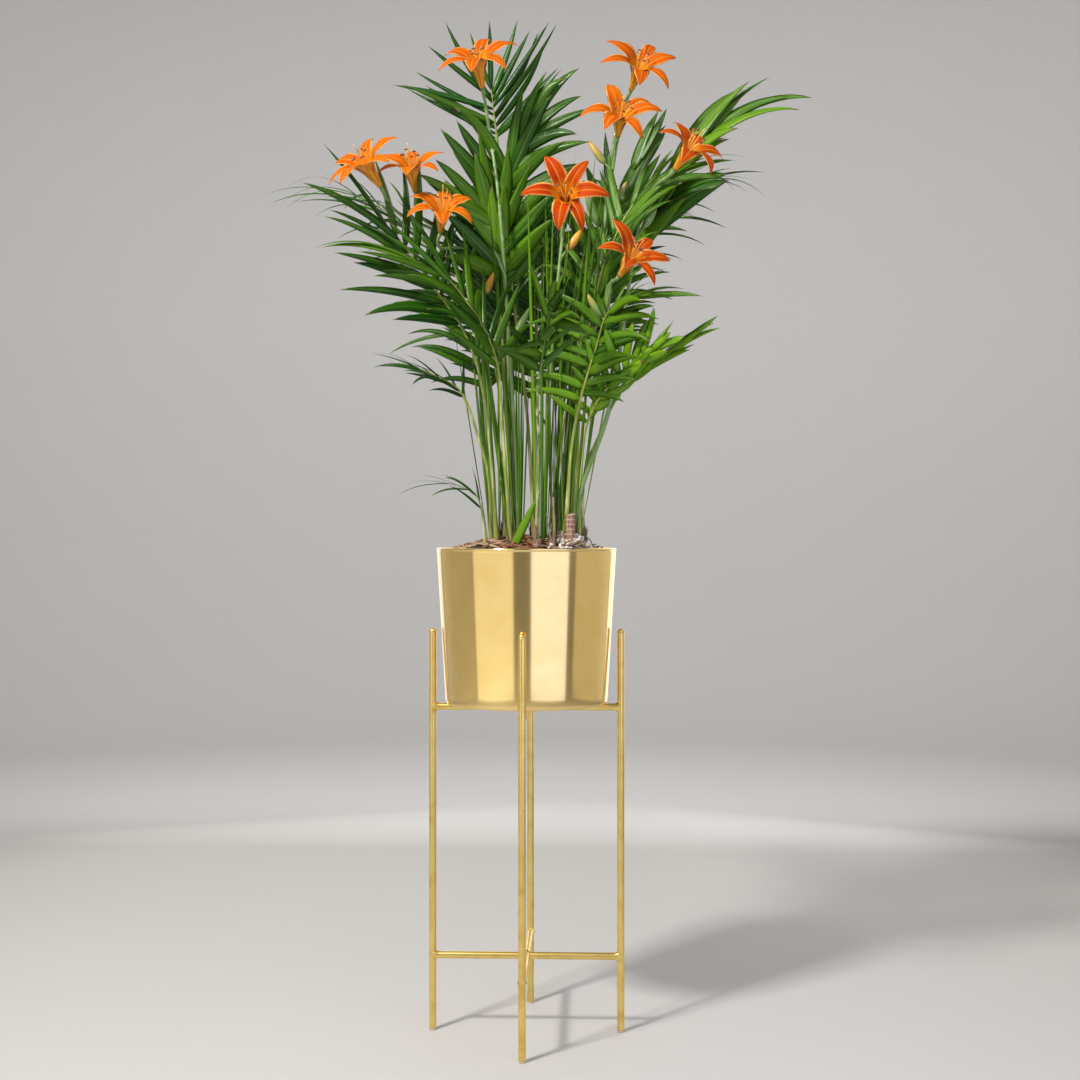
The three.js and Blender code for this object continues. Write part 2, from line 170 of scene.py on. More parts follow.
class Finish:
    # one material: its nodes, and one Principled shader at its end

    def __init__(self, name):
        self.material = bpy.data.materials.new(name)
        self.material.use_nodes = True
        self.tree = self.material.node_tree
        self.tree.nodes.clear()

    def put(self, socket, value):
        if isinstance(value, Field):
            self.tree.links.new(value.socket, socket)
        elif isinstance(value, bpy.types.NodeSocket):
            self.tree.links.new(value, socket)
        elif socket.type == "RGBA" and len(value) == 3:
            socket.default_value = (*value, 1)
        else:
            socket.default_value = value

    def node(self, kind, settings={}, inputs={}):
        made = self.tree.nodes.new("ShaderNode" + kind)
        for name, value in settings.items():
            setattr(made, name, value)
        for name, value in inputs.items():
            self.put(made.inputs[name], value)
        return made

    def attributes(self, *names):
        made = [self.node("Attribute", {"attribute_name": name}) for name in names]
        return [Field(self, node.outputs["Fac"]) for node in made]

    def objectPlace(self):
        return self.node("TexCoord").outputs["Object"]

    def joined(self, x, y, z):
        return self.node("CombineXYZ", {}, {"X": x, "Y": y, "Z": z}).outputs[0]

    def noise(self, place, scale, detail=3.0, roughness=0.55):
        made = self.node("TexNoise", {}, {"Vector": place, "Scale": scale, "Detail": detail,
                                          "Roughness": roughness})
        return Field(self, made.outputs["Fac"])

    def ribbed(self, across, along, shift, detail):
        # noise drawn out along a leaf or a stalk; shift makes each one its own
        return self.noise(self.joined(across, along, shift), 1.0, detail)

    def grained(self, place, scale, detail=3.0, roughness=0.55):
        # noise drawn out by its own scale along each axis
        made = self.node("VectorMath", {"operation": "MULTIPLY"}, {0: place, 1: scale})
        return self.noise(made.outputs[0], 1.0, detail, roughness)

    def cells(self, place, scale):
        made = self.node("TexVoronoi", {}, {"Vector": place, "Scale": scale})
        return Field(self, made.outputs["Distance"])

    def mixed(self, share, first, second):
        # first where share is 0 and second where it is 1
        colors = dict(zip(colorInputs, (first, second)))
        made = self.node("Mix", {"data_type": "RGBA"}, {"Factor": share, **colors})
        return made.outputs[colorOutput]

    def close(self, color, roughness, relief=None, behind=None, constants={}):
        # the shader and the output. relief is a height with the bump's strength and distance; behind is
        # the colour and the share of light that comes through a leaf
        values = {"Base Color": color, "Roughness": roughness, **constants}
        if relief:
            bump = self.node("Bump", {}, dict(zip(("Height", "Strength", "Distance"), relief)))
            values["Normal"] = bump.outputs["Normal"]
        shader = self.node("BsdfPrincipled", {}, values).outputs[0]
        if behind:
            color, share = behind
            through = self.node("BsdfTranslucent", {}, {"Color": color}).outputs[0]
            mixer = self.node("MixShader", {}, {0: share, 1: shader, 2: through})
            shader = mixer.outputs[0]
        self.node("OutputMaterial", {}, {"Surface": shader})
        return self.material


metalColors = {
    "pot": (0.95, 0.71, 0.305),
    "potShade": (0.90, 0.65, 0.250),
    "rod": (0.88, 0.66, 0.22),
    "rodShade": (0.74, 0.50, 0.12),
}


def makePotGold():
    finish = Finish("potGold")
    place = finish.objectPlace()
    brushed = finish.grained(place, (14, 14, 900))
    smudge = finish.noise(place, 9.0)
    shade = finish.noise(place, 26.0, 4)
    color = finish.mixed(shade.between(0.35, 0.75), metalColors["pot"], metalColors["potShade"])
    roughness = 0.07 + 0.05 * smudge + 0.05 * brushed
    return finish.close(color, roughness, (brushed, 0.035, 0.0004), constants={"Metallic": 1.0})


def makeRodGold():
    finish = Finish("rodGold")
    place = finish.objectPlace()
    grain = finish.grained(place, (300, 300, 300), 2)
    worn = finish.noise(place, 60.0, 4)
    color = finish.mixed(worn.between(0.4, 0.8), metalColors["rod"], metalColors["rodShade"])
    roughness = 0.22 + 0.12 * worn + 0.05 * grain
    return finish.close(color, roughness, (grain, 0.05, 0.0002), constants={"Metallic": 1.0})


def makeGlide():
    finish = Finish("glidePlastic")
    grain = finish.noise(finish.objectPlace(), 900.0, 2)
    color = finish.mixed(grain, (0.52, 0.43, 0.26), (0.62, 0.53, 0.35))
    return finish.close(color, 0.45 + 0.15 * grain, (grain, 0.1, 0.0002))


def makeSoil():
    finish = Finish("pottingSoil")
    place = finish.objectPlace()
    crumbs = finish.noise(place, 240.0, 6, 0.7)
    clods = finish.cells(place, 160.0)
    color = finish.mixed(crumbs.between(0.3, 0.75), (0.018, 0.011, 0.008), (0.11, 0.066, 0.042))
    return finish.close(color, 0.95, (crumbs + clods, 0.9, 0.002))


def makeBark():
    # tone 0 is dark red brown, 0.5 is tan and 1 is pale grey cream
    finish = Finish("barkChips")
    place = finish.objectPlace()
    tone, = finish.attributes("tone")
    fibre = finish.grained(place, (420, 420, 1260), 4, 0.65)
    blotch = finish.noise(place, 150.0)
    low = finish.mixed(tone.between(0.05, 0.5), (0.24, 0.062, 0.018), (0.46, 0.280, 0.145))
    color = finish.mixed(tone.between(0.5, 1.0), low, (0.68, 0.57, 0.44))
    darker = finish.mixed(fibre.between(0.35, 0.7), (0.13, 0.065, 0.038), color)
    color = finish.mixed(0.45 + 0.55 * blotch, darker, color)
    return finish.close(color, 0.82 + 0.1 * fibre, (fibre, 0.55, 0.0012))


def makeStone():
    finish = Finish("paleStone")
    place = finish.objectPlace()
    tone, = finish.attributes("tone")
    grain = finish.noise(place, 700.0, 4)
    stain = finish.noise(place, 120.0)
    color = finish.mixed(tone, (0.46, 0.38, 0.30), (0.84, 0.78, 0.71))
    color = finish.mixed(stain.between(0.55, 0.8), color, (0.30, 0.22, 0.15))
    return finish.close(color, 0.6 + 0.3 * grain, (grain, 0.4, 0.0008))


def makeCane():
    # old palm cane: brown, with pale leaf scars round it
    finish = Finish("oldCane")
    along, = finish.attributes("along")
    scars = (along * 46.0).sine()
    fibre = finish.grained(finish.objectPlace(), (420, 420, 60), 4)
    color = finish.mixed(fibre.between(0.3, 0.7), (0.16, 0.075, 0.045), (0.40, 0.25, 0.16))
    color = finish.mixed(0.7 * scars.between(0.45, 0.95), color, (0.50, 0.37, 0.28))
    return finish.close(color, 0.85, (fibre + 0.4 * scars, 0.6, 0.001))


def makeHusk():
    # dry papery sheath: fibres run along it, tone goes from brown to straw
    finish = Finish("drySheath")
    across, along, tone = finish.attributes("across", "along", "tone")
    strands = finish.ribbed(across * 22.0, along * 3.0, tone * 40.0, 4)
    color = finish.mixed(tone, (0.12, 0.060, 0.032), (0.60, 0.46, 0.29))
    color = finish.mixed(strands.between(0.35, 0.7), (0.17, 0.10, 0.055), color)
    return finish.close(color, 0.8, (strands, 0.6, 0.0006))


def makeStalk():
    # palm stalk: straw at its foot, pale green with a chalky bloom above, greener where the leaflets are
    finish = Finish("palmStalk")
    place = finish.objectPlace()
    along, tone = finish.attributes("along", "tone")
    bloom = finish.grained(place, (260, 260, 24), 4, 0.6)
    streak = finish.grained(place, (900, 900, 12))
    green = finish.mixed(tone, (0.050, 0.120, 0.010), (0.36, 0.40, 0.050))
    pale = finish.mixed(0.85 * bloom.between(0.44, 0.66), green, (0.60, 0.60, 0.27))
    upper = finish.mixed(along.between(0.42, 0.70), pale, green)
    foot = finish.mixed(streak, (0.42, 0.34, 0.10), (0.20, 0.28, 0.05))
    color = finish.mixed(along.between(0.01, 0.12), foot, upper)
    return finish.close(color, 0.30 + 0.25 * bloom, (streak, 0.25, 0.0004))


def makeLeaf():
    # leaflet: ribs run along it, and their lighter stripes are partly the veins' paler colour and partly
    # painted light and shade of the pleats. fresh goes from deep green to yellow green, tone varies single
    # leaflets
    finish = Finish("palmLeaf")
    across, along, tone, fresh = finish.attributes("across", "along", "tone", "fresh")
    shift = tone * 57.0
    ribs = finish.ribbed(across * 9.0 + shift, along * 1.6, shift, 2)
    fineRibs = (across * 44.0 + ribs * 3.0).sine()
    patches = finish.ribbed(across * 1.2 + shift, along * 5.0, shift, 3)
    deep = finish.mixed(tone, (0.0015, 0.010, 0.0007), (0.007, 0.085, 0.0015))
    bright = finish.mixed(tone, (0.022, 0.150, 0.002), (0.230, 0.460, 0.004))
    color = finish.mixed(fresh, deep, bright)
    veinsAndPaintedPleatLight = finish.mixed(fresh, (0.030, 0.180, 0.010), (0.36, 0.58, 0.030))
    # lighter stripes along the ribs: partly the veins' own paler colour, partly painted light and shade of
    # the leaflet's pleats
    color = finish.mixed(0.7 * ribs.between(0.45, 0.75), color, veinsAndPaintedPleatLight)
    midrib = 1 - abs(across).between(0.03, 0.12)
    color = finish.mixed(0.45 * midrib, color, (0.16, 0.34, 0.05))
    yellowed = patches.between(0.60, 0.80) * along.between(0.25, 0.8)
    color = finish.mixed(0.5 * yellowed, color, (0.30, 0.30, 0.035))
    burnt = (along + 0.10 * patches + 0.05 * tone).between(1.005, 1.055)
    color = finish.mixed(burnt, color, (0.22, 0.125, 0.050))
    roughness = 0.13 + 0.20 * patches + 0.3 * burnt
    return finish.close(color, roughness, (0.5 * fineRibs + 2.2 * ribs, 0.32, 0.0006),
                        ((0.14, 0.40, 0.010), 0.12), {"Specular IOR Level": 0.30})


def makePetal():
    # petal: yellow throat, orange blade with darker veins, pale margin and a paler back
    finish = Finish("lilyPetal")
    across, along, tone, back = finish.attributes("across", "along", "tone", "back")
    shift = tone * 31.0
    veins = finish.ribbed(across * 8.0 + shift, along * 1.5, shift, 3)
    blush = finish.ribbed(across * 1.5 + shift, along * 4.0, shift, 2)
    orange = finish.mixed(tone, (0.56, 0.058, 0.0004), (0.72, 0.180, 0.0008))
    deep = finish.mixed(tone, (0.33, 0.014, 0.0005), (0.58, 0.075, 0.0005))
    color = finish.mixed(0.9 * veins.between(0.40, 0.64), orange, deep)
    throat = 1 - (along + 0.08 * blush).between(0.36, 0.60)
    color = finish.mixed(throat, color, (0.92, 0.40, 0.010))
    stripe = (1 - abs(across).between(0.02, 0.12)) * along.between(0.2, 0.5)
    color = finish.mixed(0.45 * stripe, color, (0.95, 0.42, 0.06))
    margin = (abs(across) + 0.16 * blush).between(0.80, 1.04) * along.between(0.25, 0.55)
    color = finish.mixed(0.8 * margin, color, (0.96, 0.56, 0.17))
    paleBack = finish.mixed(veins.between(0.35, 0.7), (0.88, 0.27, 0.008), (0.96, 0.56, 0.16))
    color = finish.mixed(0.8 * back, color, paleBack)
    relief = 1.5 * veins + 0.5 * (across * 30.0).sine()
    return finish.close(color, 0.42 + 0.12 * blush, (relief, 0.35, 0.0006),
                        ((0.95, 0.24, 0.002), 0.14), {"Specular IOR Level": 0.08})


def makeLilyGreen():
    # flower stalks, buds and bracts: green, turning orange where tone is high
    finish = Finish("lilyGreen")
    across, along, tone = finish.attributes("across", "along", "tone")
    streak = finish.ribbed(across * 14.0, along * 3.0, tone * 20.0, 3)
    bloom = finish.noise(finish.objectPlace(), 90.0, 4)
    green = finish.mixed(streak, (0.115, 0.235, 0.045), (0.245, 0.375, 0.11))
    green = finish.mixed(0.6 * bloom.between(0.5, 0.75), green, (0.42, 0.52, 0.30))
    ripe = finish.mixed(streak, (0.90, 0.30, 0.012), (0.88, 0.50, 0.06))
    color = finish.mixed((tone + 0.25 * along).between(0.55, 1.0), green, ripe)
    return finish.close(color, 0.42, (streak, 0.3, 0.0005), constants={"Coat Weight": 0.1})


def makeStamen():
    # thread where tone is 0 and anther where it is 1
    finish = Finish("lilyStamen")
    tone, = finish.attributes("tone")
    pollen = finish.noise(finish.objectPlace(), 1500.0)
    thread = finish.mixed(pollen, (0.95, 0.42, 0.03), (0.95, 0.60, 0.14))
    anther = finish.mixed(pollen, (0.10, 0.028, 0.010), (0.34, 0.12, 0.02))
    color = finish.mixed(tone.between(0.4, 0.6), thread, anther)
    return finish.close(color, 0.55, (pollen, 0.4, 0.0004))


def makeFloor():
    finish = Finish("paleFloor")
    mottle = finish.noise(finish.objectPlace(), 3.0, 4)
    base = lightSetup["floorColor"]
    return finish.close(finish.mixed(mottle, base, tuple(0.97 * c for c in base)), 0.7)


finishes = {
    "potGold": makePotGold(), "rodGold": makeRodGold(), "glide": makeGlide(), "soil": makeSoil(),
    "bark": makeBark(), "stone": makeStone(), "cane": makeCane(), "husk": makeHusk(),
    "stalk": makeStalk(), "leaf": makeLeaf(), "petal": makePetal(), "lilyGreen": makeLilyGreen(),
    "stamen": makeStamen(), "floor": makeFloor(),
}
print("finishes made")


def unit(vectors):
    return vectors / np.maximum(np.linalg.norm(vectors, axis=-1, keepdims=True), 1e-12)


def dot(a, b):
    return (a * b).sum(-1, keepdims=True)


def rangeRound(count):
    # 0 to 1 round a ring of count points
    return np.linspace(0, 1, count)[None, None, :]


def perStation(values):
    # one value for each station of a single line
    return np.asarray(values)[None, :, None]


def perShape(values):
    # one value for each of many shapes
    return np.asarray(values)[:, None, None]


def headings(angle):
    # level directions of length 1 at the given angles from +X
    return np.stack([np.cos(angle), np.sin(angle), 0 * angle], -1)


class Piece:
    # gathers closed skins, and makes them one object that rides on a body

    def __init__(self, name, body, slot, nodes=()):
        self.name, self.body, self.slot, self.nodes = name, body, slot, nodes
        self.points, self.quads, self.triangles, self.slots = [], [], [], []
        self.values = {"across": [], "along": [], "tone": [], "fresh": [], "back": []}
        self.finishNames = []
        self.count = 0

    def add(self, rings, finish, **values):
        # rings is shapes x stations x points round x 3. Neighbouring rings are joined by quads, and
        # each end is closed by triangles to its middle. A ring runs anticlockwise seen from the next.
        rings = np.asarray(rings, float)
        shapes, stations, around, _ = rings.shape
        total = shapes * stations * around
        index = np.arange(total).reshape(shapes, stations, around)
        following = np.roll(index, -1, axis=2)
        quads = np.stack([index[:, :-1], following[:, :-1], following[:, 1:], index[:, 1:]], -1)
        ends = np.broadcast_to((total + np.arange(2 * shapes)).reshape(2, shapes, 1), (2, shapes, around))
        first = np.stack([ends[0], following[:, 0], index[:, 0]], -1)
        last = np.stack([ends[1], index[:, -1], following[:, -1]], -1)
        points = np.concatenate([rings.reshape(-1, 3), rings[:, 0].mean(1), rings[:, -1].mean(1)])
        triangles = np.concatenate([first.reshape(-1, 3), last.reshape(-1, 3)])
        if finish not in self.finishNames:
            self.finishNames.append(finish)
        self.points.append(points)
        self.quads.append(quads.reshape(-1, 4) + self.count)
        self.triangles.append(triangles + self.count)
        self.slots.append((self.finishNames.index(finish), len(self.quads[-1]), len(triangles)))
        for name, parts in self.values.items():
            full = np.broadcast_to(values.get(name, 0.5), (shapes, stations, around))
            parts.append(np.concatenate([full.reshape(-1), full[:, 0].mean(1), full[:, -1].mean(1)]))
        self.count += len(points)

    def make(self):
        quads, triangles = np.concatenate(self.quads), np.concatenate(self.triangles)
        corners = np.concatenate([quads.ravel(), triangles.ravel()]).astype(np.int32)
        starts = np.concatenate([np.arange(len(quads)) * 4, len(quads) * 4 + np.arange(len(triangles)) * 3])
        points = np.concatenate(self.points)
        mesh = bpy.data.meshes.new(self.name)
        mesh.vertices.add(len(points))
        mesh.vertices.foreach_set("co", points.astype(np.float32).ravel())
        mesh.loops.add(len(corners))
        mesh.loops.foreach_set("vertex_index", corners)
        mesh.polygons.add(len(starts))
        mesh.polygons.foreach_set("loop_start", starts.astype(np.int32))
        slotOfQuad = np.repeat([s[0] for s in self.slots], [s[1] for s in self.slots])
        slotOfTriangle = np.repeat([s[0] for s in self.slots], [s[2] for s in self.slots])
        mesh.polygons.foreach_set(
            "material_index", np.concatenate([slotOfQuad, slotOfTriangle]).astype(np.int32))
        mesh.polygons.foreach_set("use_smooth", np.full(len(starts), True))
        for name, parts in self.values.items():
            layer = mesh.attributes.new(name, "FLOAT", "POINT")
            layer.data.foreach_set("value", np.concatenate(parts).astype(np.float32))
        for name in self.finishNames:
            mesh.materials.append(finishes[name])
        mesh.update(calc_edges=True)
        piece = bpy.data.objects.new(self.name, mesh)
        bpy.context.scene.collection.objects.link(piece)
        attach(piece, self.body)
        if self.nodes:
            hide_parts(*self.nodes)


def turnedRings(profile, segments, centre=(0, 0, 0)):
    # a profile of [radius, height] points turned about the upright through centre
    profile = np.asarray(profile, float)
    angle = np.linspace(0, 2 * np.pi, segments, endpoint=False)
    r, z = profile[:, :1], profile[:, 1:]
    rings = np.stack([r * np.cos(angle), r * np.sin(angle), z + 0 * angle], -1)
    return (rings + np.array(centre))[None]


def tubeRings(path, radii, around, sideways=(0, 1, 0)):
    # a round section of the given radii carried along a path, each ring square to it
    path = np.asarray(path, float)
    along = unit(np.gradient(path, axis=0))
    sideways = sideways * np.ones_like(path)
    across = unit(sideways - dot(sideways, along) * along)
    other = np.cross(along, across)
    angle = np.linspace(0, 2 * np.pi, around, endpoint=False)[None, :, None]
    radii = np.broadcast_to(radii, len(path))[:, None, None]
    circle = np.cos(angle) * across[:, None] + np.sin(angle) * other[:, None]
    return (path[:, None] + radii * circle)[None]


def evenly(points, count):
    # the same line through points, with count points at equal steps of length
    reach = np.concatenate([[0], np.cumsum(np.linalg.norm(np.diff(points, axis=0), axis=1))])
    steps = np.linspace(0, reach[-1], count)
    return np.stack([np.interp(steps, reach, points[:, k]) for k in range(3)], -1)


stepsBetween = 30     # fine steps between two given points of a line


def throughPoints(points, count):
    # a smooth line through a few points: between two of them it is the usual cubic whose slopes are
    # half the step from the point before to the point after
    p = np.asarray(points, float)
    p = np.concatenate([[2 * p[0] - p[1]], p, [2 * p[-1] - p[-2]]])
    t = np.linspace(0, 1, stepsBetween)[:, None]
    parts = []
    for i in range(1, len(p) - 2):
        a, b, c, d = p[i - 1], p[i], p[i + 1], p[i + 2]
        parts.append(0.5 * (2 * b + (c - a) * t + (2 * a - 5 * b + 4 * c - d) * t ** 2
                            + (3 * b - a - 3 * c + d) * t ** 3))
    return evenly(np.concatenate(parts), count)


bladeSection = {
    "across": np.array([1, 0.5, 0, -0.5, -1, 0]),         # shares of the half width, round the section
    "roof": np.array([-1, -0.42, 0, -0.42, -1, 0]),       # shares of the fold's depth
    "under": np.array([0, 0, 0, 0, 0, -1]),               # the one point on the lower side
    "thickness": 0.45 * mm,
}


def bladeRings(base, direction, upper, length, halfWidth, droop, twist=0.0, fold=0.22,
               stations=11, shape=2.2, neck=0.35, rise=0.07, sway=0.0):
    # many long leaf blades at once. Each starts at base along direction; with s from 0 to 1 along it, it
    # bends towards the ground as s^1.6 and to the side as s^1.5. Its width rises from neck times the full
    # width and runs out to a point as 1 - s^shape. Its section is a shallow roof, ridge on the upper side.
    count = len(base)
    s = np.linspace(0, 1, stations) ** 0.9
    column = lambda value: np.broadcast_to(np.asarray(value, float), count)[:, None, None]
    bend = column(droop) * (s ** 1.6)[None, :, None]
    down = np.array([0, 0, -1.0])
    side = unit(np.cross(upper, direction))
    aside = column(sway) * (s ** 1.5)[None, :, None] * side[:, None]
    way = unit(direction[:, None] + bend * down + aside)
    middle = 0.5 * (way[:, 1:] + way[:, :-1]) * np.diff(s)[None, :, None] * column(length)
    place = base[:, None] + np.concatenate([np.zeros((count, 1, 3)), np.cumsum(middle, 1)], 1)
    normal = unit(upper[:, None] - dot(upper[:, None] * np.ones_like(way), way) * way)
    turned = column(twist) * (0.4 + 0.6 * s)[None, :, None]
    normal = normal * np.cos(turned) + np.cross(way, normal) * np.sin(turned)
    width = np.cross(normal, way)
    profile = (1 - (1 - neck) * np.exp(-s / rise)) * (1 - s ** shape) + 0.012
    w = (column(halfWidth) * profile[None, :, None])[..., None]
    t = (bladeSection["thickness"] * (1 - 0.7 * s))[None, :, None, None]
    x, roof, under = (bladeSection[key][:, None] for key in ("across", "roof", "under"))
    rings = (place[:, :, None] + w * x * width[:, :, None]
             + (w * fold * roof + t * under) * normal[:, :, None])
    return rings, bladeSection["across"][None, None, :], perStation(s)


floorShape = {"radius": 2.5, "bend": 1.3, "height": 4.2, "segments": 72, "bendSteps": 14}


def makeFloorPiece():
    # round flat floor that rises into a wall all round it along a quarter circle
    f = floorShape
    angle = np.linspace(0, np.pi / 2, f["bendSteps"])
    r = np.concatenate([[0.01], f["radius"] + f["bend"] * np.sin(angle), [f["radius"] + f["bend"]]])
    z = np.concatenate([[0], f["bend"] * (1 - np.cos(angle)), [f["height"]]])
    points = turnedRings(np.stack([r, z], -1), f["segments"])[0]
    index = np.arange(points[..., 0].size).reshape(len(r), f["segments"])
    following = np.roll(index, -1, axis=1)
    quads = np.stack([index[:-1], index[1:], following[1:], following[:-1]], -1).reshape(-1, 4)
    faces = quads.tolist() + [index[0].tolist()]
    mesh = bpy.data.meshes.new("studioFloor")
    mesh.from_pydata(points.reshape(-1, 3).tolist(), [], faces)
    mesh.polygons.foreach_set("use_smooth", np.full(len(faces), True))
    mesh.materials.append(finishes["floor"])
    floor = bpy.data.objects.new("studioFloor", mesh)
    bpy.context.scene.collection.objects.link(floor)


makeFloorPiece()


# the stand
stand = {
    "rodRadius": 4 * mm,
    "legCircle": 105 * mm,
    "legTop": 445 * mm,
    "lowerCross": 84 * mm,
    "upperCross": 361.7 * mm,
    "gap": 0.3 * mm,            # between the pieces that touch
    "segments": 40,
    "weldHeight": 0.9 * mm,
    "weldLength": 3 * mm,
    "fitLength": 10 * mm,       # length over which a rod's hollowed end fades out
}
legSides = {"right": (1, 0), "back": (0, 1), "left": (-1, 0), "front": (0, -1)}
# rounded ends in millimetres: how far inside the rod's surface, how high over the leg's foot or top
footHeight = 2 * mm
legFoot = [(1.2, 0.35), (0.35, 0.3), (0.08, 0.45), (0, 0.8)]
legEnd = [(0, -0.6), (0.08, -0.2), (0.35, 0), (1.2, 0)]
capFoot = [(1.3, -9), (1.3, 0.3), (0.25, 0.3), (0, 0.55)]
capDome = {"start": 1.1 * mm, "height": 3 * mm}
glideOutline = [(0.4, 0), (0.1, 0.1), (0, 0.4), (0, 1.9), (0.1, 2), (1.3, 2), (1.3, 12)]


def makeLeg(side):
    # a straight tube with softened ends, the domed plug in its top and the flat glide in its foot
    r, top = stand["rodRadius"], stand["legTop"]
    place = [stand["legCircle"] * c for c in legSides[side]] + [0]
    rows = lambda outline, level: [[r - inset * mm, level + up * mm] for inset, up in outline]
    shaft = [[r, z] for z in np.linspace(footHeight + 1.2 * mm, top - 1.2 * mm, 12)]
    arc = np.radians(np.linspace(0, 86, 9))
    up = top + capDome["start"] + capDome["height"] * np.sin(arc)
    dome = np.stack([r * np.cos(arc), up], -1).tolist()
    for part, slot, finish, outline in (
            ("leg", "stand_gold", "rodGold", rows(legFoot, footHeight) + shaft + rows(legEnd, top)),
            ("leg_cap", "stand_gold", "rodGold", rows(capFoot, top) + dome),
            ("foot_glide", "glide", "glide", rows(glideOutline, 0))):
        piece = Piece(f"stand_{part}_{side}", "stand", slot, [f"{part}_{side}"])
        piece.add(turnedRings(outline, stand["segments"], place), finish)
        piece.make()


def rodAlong(start, end, height):
    # a rod along +X whose ends are hollowed to fit a round leg: an end point is pushed out by the
    # leg's curve at its sideways offset; a weld ripples round it where it meets the leg
    r, weld, fit = stand["rodRadius"], stand["weldHeight"], stand["fitLength"]
    span = end - start
    near = np.array([0, 0.5, 1.1, 1.8, 2.6, 3.6, 5.0]) * mm
    s = np.concatenate([near, np.linspace(8 * mm, span - 8 * mm, 14), span - near[::-1]])
    bead = lambda distance: weld * np.clip(1 - distance / stand["weldLength"], 0, 1) ** 1.3
    angle = np.linspace(0, 2 * np.pi, stand["segments"], endpoint=False)
    ripple = 1 + 0.35 * np.sin(9 * angle)[None, :]
    radius = r + (bead(span - s) + bead(s))[:, None] * ripple
    y = -radius * np.sin(angle)
    z = radius * np.cos(angle)
    hollow = r - np.sqrt(np.maximum(r * r - np.minimum(abs(y), r) ** 2, 0))
    fade = np.clip(1 - (span - s) / fit, 0, 1) - np.clip(1 - s / fit, 0, 1)
    x = start + s[:, None] + hollow * fade[:, None]
    return np.stack([x, y, z + height], -1)[None]


def makeCross(name, height):
    # one rod right across between two legs, and two half rods that butt against it
    r, gap = stand["rodRadius"], stand["gap"]
    face = stand["legCircle"] - r - gap
    for side, angle, start in (("across", 0, -face), ("back", 90, r + gap), ("front", -90, r + gap)):
        rod = Piece(f"stand_{name}_rod_{side}", "stand", "stand_gold", [f"{name}_rod_{side}"])
        c, s = math.cos(math.radians(angle)), math.sin(math.radians(angle))
        turned = np.array([[c, s, 0], [-s, c, 0], [0, 0, 1.0]])
        rod.add(rodAlong(start, face, height) @ turned, "rodGold")
        rod.make()


for side in legSides:
    makeLeg(side)
makeCross("lower_cross", stand["lowerCross"])
makeCross("upper_cross", stand["upperCross"])
print("stand made")


# the pot
pot = {
    "floor": 366 * mm,
    "height": 173 * mm,
    "bottomRadius": 90 * mm,
    "topRadius": 100 * mm,
    "wall": 1.2 * mm,
    "corner": 4 * mm,
    "bead": 1.6 * mm,
    "axis": 30 * mm,            # the flat floor's innermost ring
    "segments": 160,
}
rim = pot["floor"] + pot["height"]
potSlope = (pot["topRadius"] - pot["bottomRadius"]) / pot["height"]


def potRadius(z):
    return pot["bottomRadius"] + potSlope * (z - pot["floor"])


def makePot():
    # outside: a rounded lower corner, a straight taper and a rolled rim; then back down the inside
    floor, corner, bead, axis = pot["floor"], pot["corner"], pot["bead"], pot["axis"]
    bottom, underRim = pot["bottomRadius"] - corner, rim - 2 * bead - 1.5 * mm
    a = np.radians(np.linspace(0, 86, 9))
    lower = np.stack([bottom + corner * np.sin(a), floor + corner - corner * np.cos(a)], -1)
    heights = np.linspace(floor + corner + 2 * mm, underRim, 24)
    wall = np.stack([potRadius(heights), heights], -1)
    b = np.radians(np.linspace(-40, 222, 19))
    middle = pot["topRadius"] - bead + 0.2 * mm
    rolled = np.stack([middle + bead * np.cos(b), rim - bead + bead * np.sin(b)], -1)
    down = np.linspace(underRim, floor + 5 * mm, 12)
    inner = np.stack([potRadius(down) - pot["wall"], down], -1)
    innerFloor = floor + pot["wall"]
    closing = [[potRadius(innerFloor) - pot["wall"] - 3 * mm, innerFloor], [axis, innerFloor]]
    start = [[axis, floor], [bottom - 1 * mm, floor]]
    shell = Piece("pot", "planter", "pot_gold", ["pot_shell"])
    outline = np.concatenate([start, lower, wall, rolled, inner, closing])
    shell.add(turnedRings(outline, pot["segments"]), "potGold")
    shell.make()


makePot()
print("pot made")


# soil, mulch and what stands dry in it
mulch = {
    "soilDepth": 14 * mm,       # from the rim down to the soil
    "crown": 21 * mm,           # height of the mound's middle over its edge
    "edge": 3.6 * mm,           # height of its edge over the soil
    "reach": 96.8 * mm,         # radius of the mound
    "waves": 18,                # lumps in its surface: how many waves, the longest one and its height
    "waveLength": 40 * mm,
    "waveHeight": 0.75 * mm,
    "chips": 620,
    "chipReach": 91 * mm,
    "chipLength": (8, 26),      # millimetres, as the next two
    "chipWidth": (2.2, 7),
    "chipThickness": (1.2, 3.0),
    "darkHalfWidth": 24 * mm,   # half width of the darker patch at the front
    "pebbles": 22,
    "pebbleSize": (2.0, 4.5),
    "pebbleSide": (-1.9, 1.6),  # angles from +X between which they lie
    "seed": 11,
}
goldenAngle = 2.39996
soilTop = rim - mulch["soilDepth"]


def moundHeight(r):
    # a dome that falls off as the square of the way out
    share = r / mulch["reach"]
    return soilTop + mulch["edge"] + mulch["crown"] * np.maximum(0, 1 - share * share)


def makeSoilPieces():
    # the soil fills the pot's taper, a little short of its wall
    base = Piece("soil", "planter", "potting_soil", ["soil"])
    floor = pot["floor"] + pot["wall"] + 0.3 * mm
    levels = np.linspace(floor + 5 * mm, soilTop, 8)
    side = np.stack([potRadius(levels) - pot["wall"] - 0.6 * mm, levels], -1)
    under = [[20 * mm, floor], [80 * mm, floor]]
    top = [[r * mm, soilTop] for r in (90, 50, 10)]
    base.add(turnedRings(np.concatenate([under, side, top]), 64), "soil")
    base.make()


